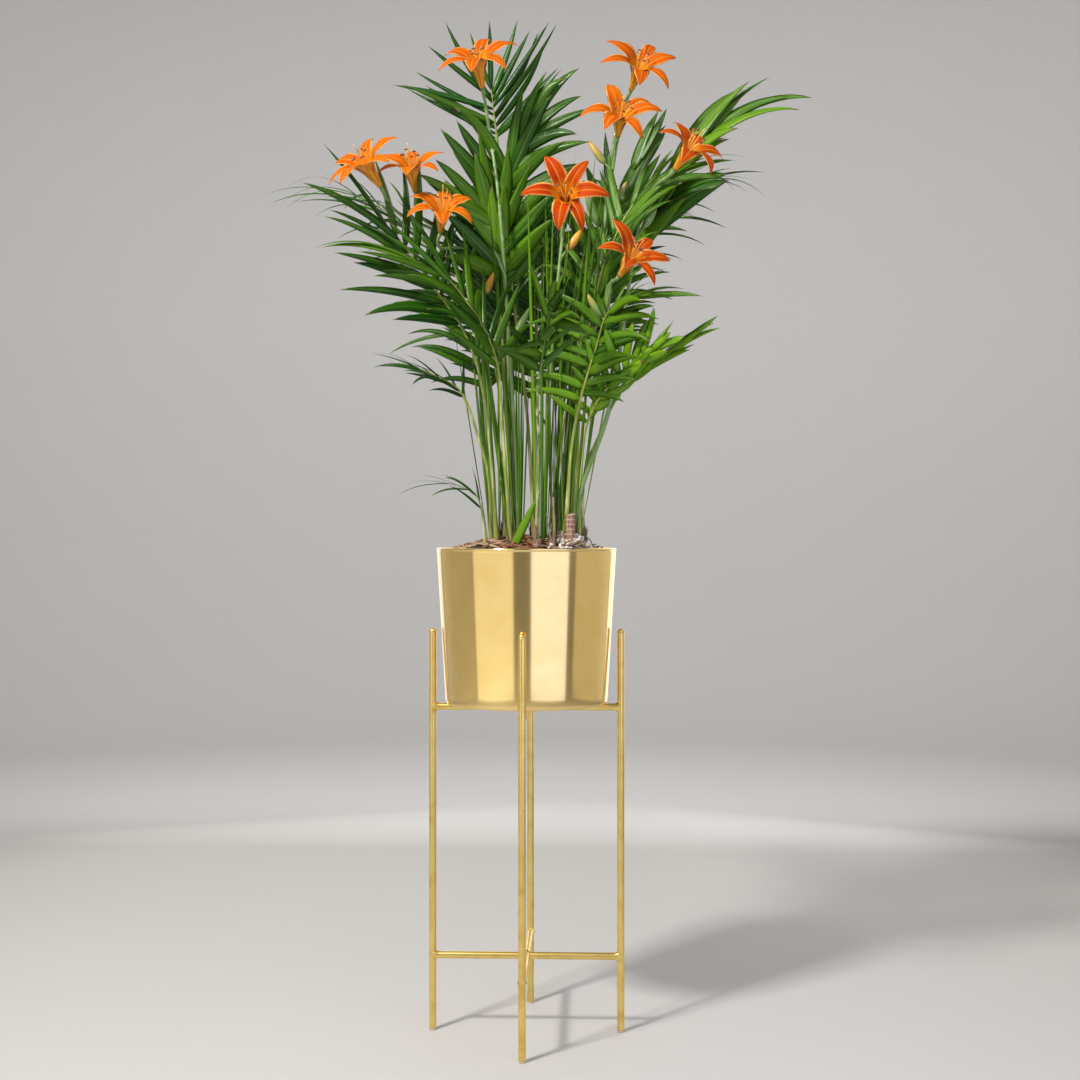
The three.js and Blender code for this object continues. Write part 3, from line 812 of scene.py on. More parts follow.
def crumbledMound(radii, segments, rng):
    # the mound's surface, raised and lowered by a sum of sideways waves of falling length
    angle = np.linspace(0, 2 * np.pi, segments, endpoint=False)
    r = radii[:, None] * np.ones(segments)
    x, y = r * np.cos(angle), r * np.sin(angle)
    z = moundHeight(r)
    for wave in range(mulch["waves"]):
        k = 2 * np.pi / (mulch["waveLength"] * 0.82 ** wave)
        heading, phase = rng.uniform(0, 2 * np.pi, 2)
        way = x * np.cos(heading) + y * np.sin(heading)
        z = z + mulch["waveHeight"] * 0.9 ** wave * np.sin(k * way + phase)
    return np.stack([x, y, z], -1)


def slabRings(centre, heading, tilt, roll, length, width, thickness, rng, stations=5, around=7):
    # many flat chips at once: an uneven oval section, narrower towards both ends
    count = len(centre)
    s = np.linspace(-1, 1, stations)
    along = np.stack([np.cos(heading) * np.cos(tilt), np.sin(heading) * np.cos(tilt), np.sin(tilt)], -1)
    flat = unit(np.stack([-np.sin(heading), np.cos(heading), 0 * heading], -1))
    upward = np.cross(along, flat)
    acrossWay = flat * np.cos(roll)[:, None] + upward * np.sin(roll)[:, None]
    upWay = np.cross(along, acrossWay)
    taper = np.sqrt(np.clip(1 - np.abs(s) ** 3.5, 0.10, 1))[None, :, None]
    taper = taper * rng.uniform(0.75, 1.1, (count, stations, 1))
    angle = np.linspace(0, 2 * np.pi, around, endpoint=False)
    wobble = rng.uniform(0.8, 1.15, (count, 1, around)) * rng.uniform(0.93, 1.07, (count, stations, around))
    u = width[:, None, None] / 2 * taper * wobble * np.cos(angle)
    v = thickness[:, None, None] / 2 * taper * wobble * np.sin(angle)
    bow = (0.12 * thickness[:, None] * (1 - 2 * s[None] ** 2))[:, :, None]
    way = (length[:, None] / 2 * s[None])[:, :, None]
    place = centre[:, None, None] + way[..., None] * along[:, None, None]
    return place + u[..., None] * acrossWay[:, None, None] + (v + bow)[..., None] * upWay[:, None, None]


def makeMulch():
    # the mound, chips laid over it on a sunflower spiral so that they cover it evenly, and pebbles
    rng = np.random.default_rng(mulch["seed"])
    cover = Piece("bark_mulch", "planter", "bark", ["bark_mulch"])
    radii = np.concatenate([[97.5], np.linspace(96.5, 2, 46)]) * mm
    top = crumbledMound(radii, 150, rng)
    under = top[:1] * np.array([1, 1, 0]) + np.array([0, 0, soilTop + 0.5 * mm])
    cover.add(np.concatenate([under, top])[None], "soil")
    count = mulch["chips"]
    share = (np.arange(count) + 0.5) / count
    r = mulch["chipReach"] * np.sqrt(share) + rng.normal(0, 2 * mm, count)
    spin = np.arange(count) * goldenAngle + rng.normal(0, 0.35, count)
    x, y = r * np.cos(spin), r * np.sin(spin)
    length = rng.uniform(*mulch["chipLength"], count) * mm
    length = np.minimum(length, 2 * (95 * mm - np.abs(r)) + 7 * mm)
    width = np.minimum(rng.uniform(*mulch["chipWidth"], count) * mm, 0.75 * length)
    thickness = rng.uniform(*mulch["chipThickness"], count) * mm
    z = moundHeight(r) + rng.uniform(-0.3, 2.8, count) * mm
    tone = np.clip(rng.normal(0.45, 0.18, count) - 3.5 * x, 0.04, 0.95)
    dark = (np.abs(x) < mulch["darkHalfWidth"]) & (y < 0)
    tone = np.where(dark, 0.30 * tone + 0.06, tone)
    rings = slabRings(np.stack([x, y, z], -1), rng.uniform(0, 2 * np.pi, count),
                      rng.normal(0, 0.22, count), rng.normal(0, 0.3, count), length, width, thickness, rng)
    cover.add(rings, "bark", tone=perShape(tone))
    count = mulch["pebbles"]
    r = 88 * mm * np.sqrt(rng.uniform(0, 1, count))
    spin = rng.uniform(*mulch["pebbleSide"], count)
    x, y = r * np.cos(spin), r * np.sin(spin)
    size = rng.uniform(*mulch["pebbleSize"], count) * mm
    centre = np.stack([x, y, moundHeight(r) + 0.35 * size + 1.2 * mm], -1)
    rings = slabRings(centre, rng.uniform(0, 6, count), rng.normal(0, 0.3, count),
                      rng.normal(0, 0.3, count), size * 1.2, size, size * 0.75, rng, 6, 8)
    cover.add(rings, "stone", tone=rng.uniform(0.2, 1, (count, 1, 1)))
    cover.make()


rootClump = {
    "place": (54 * mm, -54 * mm),
    "spread": (11 * mm, 15 * mm),
    "reach": 86 * mm,           # nothing lies farther than this from the pot's axis
    "rise": 19 * mm,
    "riseWidth": 15 * mm,
    "stones": 230,
    "stoneSize": (3.5, 8.0),    # millimetres, as the next two
    "fibreReach": (8, 22),
    "fibreRadius": (0.45, 0.9),
    "fibres": 60,
    "fibreEdge": 80 * mm,
    "seed": 5,
}


def makeRootClump():
    # a pale knot of dry roots and broken stone at the foot of the right-hand stalks
    c = rootClump
    rng = np.random.default_rng(c["seed"])
    clump = Piece("dry_root_clump", "planter", "bark")
    x, y = (rng.normal(middle, spread, c["stones"]) for middle, spread in zip(c["place"], c["spread"]))
    keep = np.hypot(x, y) < c["reach"]
    x, y = x[keep], y[keep]
    count = len(x)
    away = (x - c["place"][0]) ** 2 + (y - c["place"][1]) ** 2
    rise = c["rise"] * np.exp(-away / (2 * c["riseWidth"] ** 2))
    size = rng.uniform(*c["stoneSize"], count) * mm
    centre = np.stack([x, y, moundHeight(np.hypot(x, y)) + rise * rng.uniform(0.2, 1, count)], -1)
    rings = slabRings(centre, rng.uniform(0, 6, count), rng.normal(0, 0.6, count),
                      rng.normal(0, 0.8, count), size * 1.25, size, size * 0.7, rng, 6, 8)
    clump.add(rings, "stone", tone=rng.uniform(0.25, 1, (count, 1, 1)))
    stations, around = 9, 5
    for _ in range(c["fibres"]):
        a = rng.uniform(0, 2 * np.pi)
        start = np.array([*c["place"], 0]) + np.array([rng.normal(0, 8), rng.normal(0, 11), 0]) * mm
        reach = rng.uniform(*c["fibreReach"]) * mm
        end = start + reach * np.array([math.cos(a), math.sin(a), 0])
        end[:2] *= min(1, c["fibreEdge"] / math.hypot(*end[:2]))
        start[2] = moundHeight(math.hypot(*start[:2])) + rng.uniform(8, 18) * mm
        end[2] = moundHeight(math.hypot(*end[:2])) + 1.5 * mm
        bow = np.array([rng.normal(0, 3), rng.normal(0, 3), rng.uniform(0, 5)]) * mm
        path = throughPoints([start, (start + end) / 2 + bow, end], stations)
        radii = rng.uniform(*c["fibreRadius"]) * mm * np.linspace(1, 0.35, stations)
        clump.add(tubeRings(path, radii, around, (0.3, 0.9, 0.1)), "husk", tone=rng.uniform(0.35, 1),
                  across=rangeRound(around), along=perStation(np.linspace(0, 1, stations)))
    clump.make()


# place in millimetres, radius and height in millimetres, leaf scars
stubs = {
    "cane_stub_right": ((50, -62), 5.3, 50, 9),
    "cane_stub_middle": ((14, -66), 4.8, 22, 4),
}
stubFoot = soilTop + 0.6 * mm


def makeStub(node, place, radius, height, rings):
    # an old cane: ridges round it at the leaf scars and a rough sloping cut on top
    rng = np.random.default_rng(len(node))
    stub = Piece(node + "_piece", "planter", "cane", [node])
    place, radius, height = np.array(place) * mm, radius * mm, height * mm
    s = np.linspace(0, 1, 34)
    ridge = 0.07 * np.abs(np.sin(np.pi * rings * s)) ** 8
    side = np.stack([radius * (1.06 - 0.12 * s + ridge), stubFoot + s * height], -1)
    cut = [[radius * 0.84, stubFoot + height + 0.2 * mm], [radius * 0.5, stubFoot + height]]
    turned = turnedRings(np.concatenate([side, cut]), 24, (*place, 0))
    turned[..., :2] += rng.normal(0, 0.012 * radius, turned[..., :2].shape)
    turned[0, -3:, :, 2] += 0.25 * (turned[0, -3:, :, 0] - place[0])
    stub.add(turned, "cane", along=perStation(np.concatenate([s, [1, 1]]) * rings / 7))
    stub.make()


makeSoilPieces()
makeMulch()
makeRootClump()
for node, row in stubs.items():
    makeStub(node, *row)

dryStalk = {
    "line": [(32, -64, 0), (32.8, -64, 34), (31.4, -63.5, 68)],     # millimetres over the stub's foot
    "stations": 24,
    "around": 10,
    "wraps": 5,
    "wrapLength": (30, 60),
    "seed": 3,
}


def makeDryStalk():
    # a thin dead stalk with papery wraps round its foot
    d = dryStalk
    rng = np.random.default_rng(d["seed"])
    stalk = Piece("dry_stalk_piece", "planter", "cane", ["dry_stalk"])
    line = np.array(d["line"]) * mm + [0, 0, stubFoot]
    s = np.linspace(0, 1, d["stations"])
    radii = (2.1 - 0.9 * s + 0.25 * np.sin(21 * s)) * mm
    stalk.add(tubeRings(throughPoints(line, d["stations"]), radii, d["around"]), "husk", tone=0.7,
              across=rangeRound(d["around"]), along=perStation(s))
    count = d["wraps"]
    lean = headings(rng.uniform(0, 6, count)) * 0.16 + [0, 0, 1]
    rings, across, along = bladeRings(np.tile(line[0], (count, 1)), unit(lean), unit(lean * [-1, -1, 0.1]),
                                      rng.uniform(*d["wrapLength"], count) * mm, 2.6 * mm, 0.1,
                                      fold=-0.5, neck=0.9)
    stalk.add(rings, "husk", across=across, along=along, tone=rng.uniform(0.8, 1, (count, 1, 1)))
    stalk.make()


makeDryStalk()
print("soil and mulch made")


# Each frond in millimetres and degrees: its foot on the soil and the line from there to its tip; the way
# its upper face looks, the shares of the line where leaflets begin and where the midrib ends, pairs of
# leaflets, the angle at which they leave the midrib on each side and their length there; then their half
# width, lift above the midrib, droop, how abruptly they end and how fresh the green is.
fronds = {
    "crown_back": (
        (-6, 30), [(-21, 32, 696), (-30, 42, 857), (-34, 46, 983), (-42, 46, 1058), (-52, 42, 1147)],
        (0.1, -1, 0.1), (0.765, 0.87), 9, (64, 50), (128, 128), 3.7, 4, 0.06, 3.0, 0.06),
    "crown_middle": (
        (10, 2), [(0, 2, 693), (-16, 0, 827), (-22, -2, 921), (-3, -8, 995), (78, -16, 1046)],
        (0.0, -1, 0.4), (0.58, 0.84), 11, (30, 40), (108, 104), 9.0, 8, 0.6, 3.2, 0.26),
    "crown_left": (
        (-12, 12), [(-19, 8, 694), (-23, -2, 815), (-29, -20, 883), (-57, -36, 928), (-107, -40, 971)],
        (0.2, -1, 0.5), (0.62, 0.8), 11, (30, 40), (100, 92), 10.5, 4, 0.34, 3.4, 0.6),
    "crown_right": (
        (36, 12), [(46, 12, 694), (62, 14, 795), (87, 24, 887), (120, 37, 970), (170, 38, 1053)],
        (-0.1, -1, 0.2), (0.42, 0.84), 9, (34, 26), (108, 100), 7.6, 6, 0.2, 3.2, 0.26),
    "fan_right": (
        (57, -28), [(63, -36, 646), (74, -48, 689), (96, -72, 717), (129, -96, 744), (172, -112, 771)],
        (0.0, -1, 0.15), (0.46, 0.84), 9, (64, 20), (62, 46), 5.2, 2, 0.03, 9.0, 0.98),
    "arch_right": (
        (52, 8), [(55, 8, 694), (78, 8, 789), (118, 6, 878), (167, 4, 966),
         (233, 2, 1026), (321, 0, 1044)],
        (-0.25, -0.8, 0.8), (0.5, 0.8), 8, (8, 20), (150, 125), 13.0, 6, 0.62, 3.2, 0.5),
    "arch_right_near": (
        (55, -18), [(59, -20, 691), (70, -24, 774), (88, -26, 854), (125, -24, 924),
         (181, -18, 954), (250, -14, 937)],
        (-0.1, -0.6, 1), (0.46, 0.84), 11, (38, 32), (105, 100), 6.0, 8, 0.6, 2.6, 0.46),
    "arch_right_far": (
        (46, 26), [(49, 34, 696), (68, 52, 812), (111, 80, 908), (193, 110, 968), (313, 130, 978)],
        (0, -0.4, 1), (0.48, 0.78), 14, (46, 42), (115, 115), 3.0, 8, 0.85, 2.2, 0.12),
    "arch_left": (
        (-24, -2), [(-29, 12, 694), (-53, 34, 798), (-110, 58, 880), (-211, 76, 953), (-323, 86, 937)],
        (0, -0.4, 1), (0.46, 0.8), 14, (44, 40), (120, 120), 3.0, 10, 0.9, 2.2, 0.06),
    "arch_left_near": (
        (-30, -24), [(-43, -30, 690), (-63, -44, 768), (-97, -58, 820), (-135, -66, 872),
         (-178, -70, 917), (-229, -72, 965)],
        (0.4, -1, 0.6), (0.5, 0.78), 9, (36, 54), (118, 108), 5.6, 4, 0.34, 3.0, 0.16),
    "arch_far_left": (
        (-17, -12), [(-23, -12, 692), (-29, -10, 803), (-43, -10, 870), (-79, -16, 917), (-135, -24, 949)],
        (0.2, -0.8, 0.8), (0.52, 0.8), 11, (32, 26), (100, 92), 4.8, 6, 0.55, 2.8, 0.05),
    "arch_back": (
        (4, 40), [(6, 56, 700), (8, 92, 850), (5, 158, 950), (0, 226, 918)],
        (0, -0.3, 1), (0.44, 0.82), 14, (50, 50), (118, 118), 5.8, 8, 0.7, 2.6, 0.2),
    "arch_far_right": (
        (38, 38), [(46, 54, 700), (72, 92, 850), (130, 148, 955), (200, 206, 915)],
        (0, -0.3, 1), (0.44, 0.82), 14, (48, 48), (118, 118), 5.6, 8, 0.7, 2.6, 0.2),
    "near": (
        (13, -52), [(16, -62, 645), (15, -76, 692), (21, -106, 739), (31, -156, 780), (34, -222, 805)],
        (0.25, -0.75, 0.6), (0.56, 0.84), 9, (50, 40), (108, 70), 6.8, 4, 0.35, 3.0, 0.36),
    "low_left_near": (
        (-14, -40), [(-24, -50, 667), (-29, -66, 739), (-55, -84, 794), (-101, -98, 836),
         (-217, -112, 857)],
        (0.2, -0.7, 0.9), (0.44, 0.74), 11, (36, 44), (104, 104), 5.6, 5, 0.55, 2.8, 0.26),
    "low_right_near": (
        (42, -46), [(51, -54, 645), (61, -62, 699), (77, -72, 751), (91, -84, 790),
         (123, -94, 804), (185, -104, 794)],
        (0.1, -0.6, 1), (0.46, 0.82), 12, (78, 50), (86, 80), 5.4, 6, 0.75, 2.8, 0.5),
    "low_right": (
        (63, -10), [(64, -14, 614), (81, -18, 663), (105, -26, 711), (135, -36, 738),
         (178, -46, 763), (220, -52, 779)],
        (-0.2, -0.8, 0.9), (0.56, 0.82), 7, (22, 16), (72, 72), 6.4, 6, 0.2, 3.0, 0.95),
    "low_left": (
        (-38, -12), [(-41, -16, 614), (-55, -18, 669), (-72, -20, 711), (-97, -24, 727),
         (-134, -28, 743), (-178, -30, 758)],
        (0.0, -0.5, 1), (0.58, 0.8), 7, (42, 34), (60, 60), 2.9, 8, 0.55, 2.2, 0.05),
    "low_back_left": (
        (-26, 48), [(-34, 62, 650), (-60, 104, 775), (-108, 160, 842), (-162, 212, 800)],
        (0, -0.3, 1), (0.44, 0.82), 13, (48, 48), (105, 105), 5.2, 6, 0.7, 2.6, 0.2),
    "low_back_right": (
        (28, 56), [(36, 76, 650), (58, 122, 775), (92, 174, 838), (122, 218, 798)],
        (0, -0.3, 1), (0.44, 0.82), 13, (48, 48), (105, 105), 5.2, 6, 0.7, 2.6, 0.25),
    "back_middle": (
        (8, 22), [(8, 26, 695), (10, 42, 788), (17, 58, 859), (29, 70, 914), (62, 80, 963)],
        (0, -1, 0.35), (0.38, 0.84), 14, (62, 60), (125, 125), 6.2, 6, 0.45, 2.8, 0.02),
    "seedling_left": (
        (-42, -30), [(-50, -32, 589), (-70, -34, 606), (-103, -35, 612), (-148, -35, 615)],
        (0, -0.4, 1), (0.3, 0.62), 4, (40, 22), (56, 50), 2.2, 8, 0.5, 2.2, 0.0),
}
frondShape = {
    "footRadius": 2.1 * mm,
    "stalkRadius": 1.5 * mm,
    "tipRadius": 0.5 * mm,
    "sheathRadius": 1.9 * mm,   # added at the foot
    "sheathLength": 38 * mm,
    "stations": 56,
    "around": 10,
    "seedling": 0.6,            # thickness of the seedling's stalk against the others'
    "openingSpread": 10,        # degrees by which single leaflets differ, as the next one
    "liftSpread": 12,
    "husks": 5,                 # dry fibres round each foot, and their length in millimetres
    "huskLength": (18, 52),
}
stemStart = soilTop + 0.3 * mm


def makeFrond(number, name, row):
    # one frond: a stalk along its line, leaflets on both sides of its far part and husks at its foot
    foot, through, facing, blade, pairs, openings, lengths, halfWidth, lift, droop, shape, fresh = row
    f = frondShape
    rng = np.random.default_rng(100 + number)
    line = np.array([(*foot, stemStart / mm)] + through) * mm
    path = throughPoints(line, 2 * f["stations"])
    total = np.linalg.norm(np.diff(path, axis=0), axis=1).sum()
    s = np.linspace(0, 1, len(path))
    tangents = unit(np.gradient(path, axis=0))
    facing = np.array(facing, float)
    uppers = unit(facing - dot(facing * np.ones_like(tangents), tangents) * tangents)
    small = f["seedling"] if name == "seedling_left" else 1.0
    start, end = blade
    radii = np.interp(s, [0, start, end], [f["footRadius"], f["stalkRadius"], f["tipRadius"]])
    sheath = f["sheathRadius"] * np.exp(-(s * total / f["sheathLength"]) ** 1.5)
    keep = np.flatnonzero(s <= end)[::2]
    frond = Piece("palm_frond_" + name, "planter", "palm_leaf", ["frond_" + name])
    frond.add(tubeRings(path[keep], small * (radii + sheath)[keep], f["around"], (1, 0.2, 0)), "stalk",
              along=perStation(s[keep]), across=rangeRound(f["around"]),
              tone=float(np.clip(rng.uniform(-0.1, 0.6) + 0.5 * fresh, 0, 1)))
    # leaflets stand in pairs along the midrib, a little out of step with each other
    u = (np.arange(pairs) + 0.5) / pairs
    u = np.concatenate([u, np.clip(u + 0.35 / pairs, 0, 1)])
    count = len(u)
    flank = np.repeat([-1.0, 1.0], pairs)
    bySide = lambda pair: np.where(flank < 0, *pair)
    u = np.clip(u + rng.normal(0, 0.14 / pairs, count), 0, 0.995)
    at = start + (end - start) * u
    along = lambda values: np.stack([np.interp(at, s, values[:, k]) for k in range(3)], -1)
    base, tangent, upper = along(path), unit(along(tangents)), unit(along(uppers))
    sideways = np.cross(tangent, upper)
    opening = np.interp(u, [0, 0.5, 1], [1.08, 1.0, 0.26]) * bySide(openings)
    opening = np.radians(opening + rng.normal(0, f["openingSpread"], count))[:, None]
    raised = np.radians(lift + rng.normal(0, f["liftSpread"], count))[:, None]
    outward = np.cos(raised) * flank[:, None] * sideways + np.sin(raised) * upper
    direction = unit(np.cos(opening) * tangent + np.sin(opening) * outward)
    # the last leaflets run on to the frond's tip
    toTip = np.clip((u - 0.45) / 0.55, 0, 1) ** 1.5
    length = bySide(lengths) * mm * np.interp(u, [0, 0.12, 0.4], [0.76, 0.90, 1.0]) * (1 - toTip)
    length = (length + (1 - end) * total * toTip) * rng.uniform(0.80, 1.06, count)
    half = halfWidth * mm * np.interp(u, [0, 0.25, 0.8, 1], [0.8, 1.0, 0.95, 0.75])
    half = half * rng.uniform(0.78, 1.15, count)
    bend = droop * rng.uniform(0.5, 1.5, count)
    turned = flank * np.radians(rng.normal(10, 16, count))
    rings, across, along = bladeRings(base, direction, upper, length, half, bend, twist=turned,
                                      shape=shape, sway=flank * rng.normal(0.10, 0.12, count))
    tone = np.clip(rng.normal(0.5, 0.25, count), 0, 1)
    freshness = np.clip(fresh + rng.normal(0, 0.08, count), 0, 1)
    frond.add(rings, "leaf", across=across, along=along, tone=perShape(tone), fresh=perShape(freshness))
    # dry fibres that wrap the foot of the stalk
    count = f["husks"]
    outward = headings(rng.uniform(0, 2 * np.pi, count))
    rings, across, along = bladeRings(path[0] + outward * 2.2 * mm * small,
                                      unit(tangents[2] + 0.10 * outward), outward,
                                      rng.uniform(*f["huskLength"], count) * mm * small,
                                      3.0 * mm * small, 0.05, fold=0.35, neck=0.95, shape=3.0)
    frond.add(rings, "husk", across=across, along=along, tone=rng.uniform(0.1, 1, (count, 1, 1)))
    frond.make()


for number, (name, row) in enumerate(fronds.items()):
    makeFrond(number, name, row)
print("palm fronds made")


# day lilies
lilies = {
    # place of the stalk's end in millimetres, the way the flower faces, radius, turn, tone, openness
    "lily_top_left": ((-47, -30, 1043), (-0.12, -0.75, 0.85), 46, 20, 0.62, 1.0),
    "lily_top_right": ((116, 10, 1050), (0.35, -0.85, 0.75), 45, 40, 0.60, 0.95),
    "lily_high_right": ((101, -30, 988), (0.12, -0.85, 0.65), 44, 10, 0.80, 0.95),
    "lily_far_right": ((161, -62, 944), (0.6, -0.6, 0.7), 42, 35, 0.35, 1.0),
    "lily_left_outer": ((-153, -72, 926), (-0.5, -0.7, 0.75), 43, 5, 0.85, 0.9),
    "lily_left_inner": ((-118, -48, 924), (-0.1, -0.55, 0.85), 40, 25, 0.95, 0.9),
    "lily_left_low": ((-90, -64, 878), (0.15, -0.7, 0.9), 38, 40, 0.8, 1.0),
    "lily_middle": ((44, -66, 905), (0.05, -1, 0.25), 45, 12, 0.05, 1.0),
    "lily_right_low": ((102, -88, 826), (0.45, -0.75, 0.60), 42, 30, 0.15, 0.9),
}
lilyShape = {
    "innerWidth": 8.6 * mm,     # half width of the three inner petals
    "outerWidth": 6.4 * mm,
    "throat": 2.4 * mm,         # half width and distance from the axis where a petal starts
    "longer": 1.62,             # a petal's length against the flower's radius
    "ruffle": (0.04, 0.11),     # outer and inner petals, as shares of the half width
    "thickness": 0.6 * mm,
    "stations": 22,
    "tubeLength": 21,           # millimetres, as the next two
    "stamenHeight": (44, 50),
    "pistilHeight": 58,
}
# how far a petal leans from the flower's axis, in degrees, at shares of its length
petalLean = ([0, 0.22, 0.40, 0.62, 0.82, 1], [5, 9, 24, 66, 100, 132])
# how hollow a petal is at shares of its length
petalCup = ([0, 0.45, 0.75, 1], [1.0, 0.7, -0.15, -0.45])


def facingAxes(facing):
    axis = unit(np.array(facing, float))
    first = unit(np.cross(axis, [0.02, 1, 0.05]))
    return first, np.cross(axis, first), axis


def petalRings(radius, openness, inner, spins, rng):
    # petals of a funnel flower at once. Each follows an arc that leaves the flower's axis at a small
    # angle, opens to about a right angle and rolls back at its tip; its edges are ruffled
    count = len(spins)
    s = np.linspace(0, 1, lilyShape["stations"])
    length = radius * lilyShape["longer"] * mm * rng.uniform(0.95, 1.05, (count, 1))
    lean = np.interp(s, *petalLean) * openness * (1.0 if inner else 1.08)
    lean = np.radians(lean[None] + rng.normal(0, 5, (count, 1)) * s)
    ds = np.concatenate([[0], np.diff(s)])
    r = lilyShape["throat"] + np.cumsum(np.sin(lean) * ds, 1) * length
    z = 2 * mm + np.cumsum(np.cos(lean) * ds, 1) * length
    angle = spins[:, None] + np.radians(rng.normal(0, 7, (count, 1))) * s ** 2
    widest = lilyShape["innerWidth" if inner else "outerWidth"]
    half = widest * np.maximum(np.sin(np.pi * s ** 1.35), 0) ** 0.85
    half = perStation(half + lilyShape["throat"] * (1 - s) + 0.15 * mm)
    # the section runs along the face from one edge to the other, and back along the back
    x = np.array([1, 0.8, 0.55, 0.25, 0, -0.25, -0.55, -0.8, -1, -0.7, -0.35, 0, 0.35, 0.7])
    back = np.array([0.0] * 9 + [1.0] * 5)
    outward, up = headings(angle), np.array([0, 0, 1.0])
    sideward = np.stack([-outward[..., 1], outward[..., 0], 0 * angle], -1)
    normal = np.sin(lean)[..., None] * up - np.cos(lean)[..., None] * outward
    cup = perStation(0.34 * np.interp(s, *petalCup)) * half
    wave = 2 * np.pi * 3.2 * perStation(s) + rng.uniform(0, 6, (count, 1, 1)) + 1.2 * np.sign(x)
    ruffle = lilyShape["ruffle"][int(inner)] * half * np.sin(wave) * x ** 4
    groove = -0.55 * mm * np.exp(-(x / 0.16) ** 2) * perStation(np.sin(np.pi * s))
    lift = cup * x ** 2 + ruffle + groove - lilyShape["thickness"] * back * (1 - np.abs(x) ** 3)
    place = r[..., None] * outward + z[..., None] * up
    rings = (place[:, :, None] + (half * x)[..., None] * sideward[:, :, None]
             + lift[..., None] * normal[:, :, None])
    return rings, x[None, None], perStation(s), back[None, None]


def makeLily(number, name, row):
    # one flower, made upright round +Z and then turned to face its own way
    place, facing, radius, turnDegrees, tone, openness = row
    rng = np.random.default_rng(300 + number)
    axes = np.stack(facingAxes(facing))
    origin = np.array(place) * mm
    setInPlace = lambda rings: rings @ axes + origin
    flower = Piece("day_" + name, "planter", "petal", [name])
    for inner in (False, True):
        spins = np.radians(turnDegrees + np.arange(3) * 120 + (60 if inner else 0) + rng.normal(0, 5, 3))
        rings, across, along, back = petalRings(radius, openness, inner, spins, rng)
        flower.add(setInPlace(rings), "petal", across=across, along=along, back=back,
                   tone=np.clip(tone + rng.normal(0, 0.08, (3, 1, 1)), 0, 1))
    # the green ovary and the tube that the petals leave
    stations, around = 12, 14
    s = np.linspace(0, 1, stations)
    bulge = 2.2 + 1.3 * np.sin(np.pi * s ** 0.8)
    tube = np.stack([bulge, 0.2 + lilyShape["tubeLength"] * s], -1) * mm
    flower.add(setInPlace(turnedRings(tube, around)), "lilyGreen", along=perStation(s),
               tone=perStation(np.linspace(0.2, 0.95, stations)), across=rangeRound(around))
    # six stamens and a pistil, bending up together
    radii = np.linspace(0.75, 0.5, stations) * mm
    for k in range(7):
        spin = math.radians(turnDegrees + 30 + 60 * k)
        out = 0 if k == 6 else rng.uniform(6, 11)
        tall = rng.uniform(*lilyShape["stamenHeight"]) if k < 6 else lilyShape["pistilHeight"]
        lean = np.array([math.cos(spin), math.sin(spin), 0]) * out
        sag = np.array([rng.normal(0, 1), 3.0, 0])
        points = np.array([[0, 0, 12], 0.35 * lean + [0, 0, 28], lean + sag + [0, 0, tall]])
        path = throughPoints(points * mm, stations)
        flower.add(setInPlace(tubeRings(path, radii, 6)), "stamen", tone=0.0)
        if k < 6:
            way = unit(np.array([rng.normal(), rng.normal(), 0.3]))
            a = np.linspace(-1, 1, 7)
            anther = tubeRings(path[-1] + a[:, None] * way * 2.6 * mm,
                               0.95 * mm * np.sqrt(np.clip(1 - a ** 4, 0.08, 1)), 6)
            flower.add(setInPlace(anther), "stamen", tone=1.0)
    flower.make()


for number, (name, row) in enumerate(lilies.items()):
    makeLily(number, name, row)

# Flower stalks: foot and fork in millimetres, the flowers, and extra buds as
# (share of the way from the fork to that flower, length, ripeness, lean to the right)
scapes = {
    "scape_top_left": ((-9, -10), (-27, -34, 900), ["lily_top_left"], [(0, 0.45, 34, 0.3, 0.6)]),
    "scape_top_right": ((33, -6), (78, -10, 840), ["lily_top_right", "lily_high_right"],
                        [(1, 0.75, 38, 0.2, -0.5), (1, 0.9, 30, 0.6, -0.9), (0, 0.7, 30, 0.5, 0.8)]),
    "scape_right": ((48, -34), (95, -57, 704), ["lily_far_right", "lily_right_low"],
                    [(0, 0.8, 26, 0.4, 0.8), (1, 0.8, 28, 0.5, -0.8)]),
    "scape_left": ((-34, 6), (-58, -10, 850), ["lily_left_outer", "lily_left_inner", "lily_left_low"],
                   [(0, 0.7, 36, 0.4, -0.7), (2, 0.7, 26, 0.7, 0.6)]),
    "scape_middle": ((20, -26), (30, -44, 760), ["lily_middle"], [(0, 0.8, 26, 0.8, 0.9)]),
}


scapeShape = {
    "stations": 60,
    "around": 10,
    "bracts": (20, 34, 46, 50),     # stations where they grow, the last one on the last branch
    "bractLength": (20, 42),        # millimetres
    "straps": 13,                   # strap leaves round each foot
    "strapLength": (130, 330),      # the shortest in millimetres, and what the longest has over it
    "strapHalfWidth": (1.2, 2.0),   # the same
}
# one short broad leaf at the front: foot in millimetres, way, upper side, length and half width
shortLeaf = ([-14, -56, 534], [0.46, -0.05, 1], [0.1, -1, 0.2], 64 * mm, 5.0 * mm)


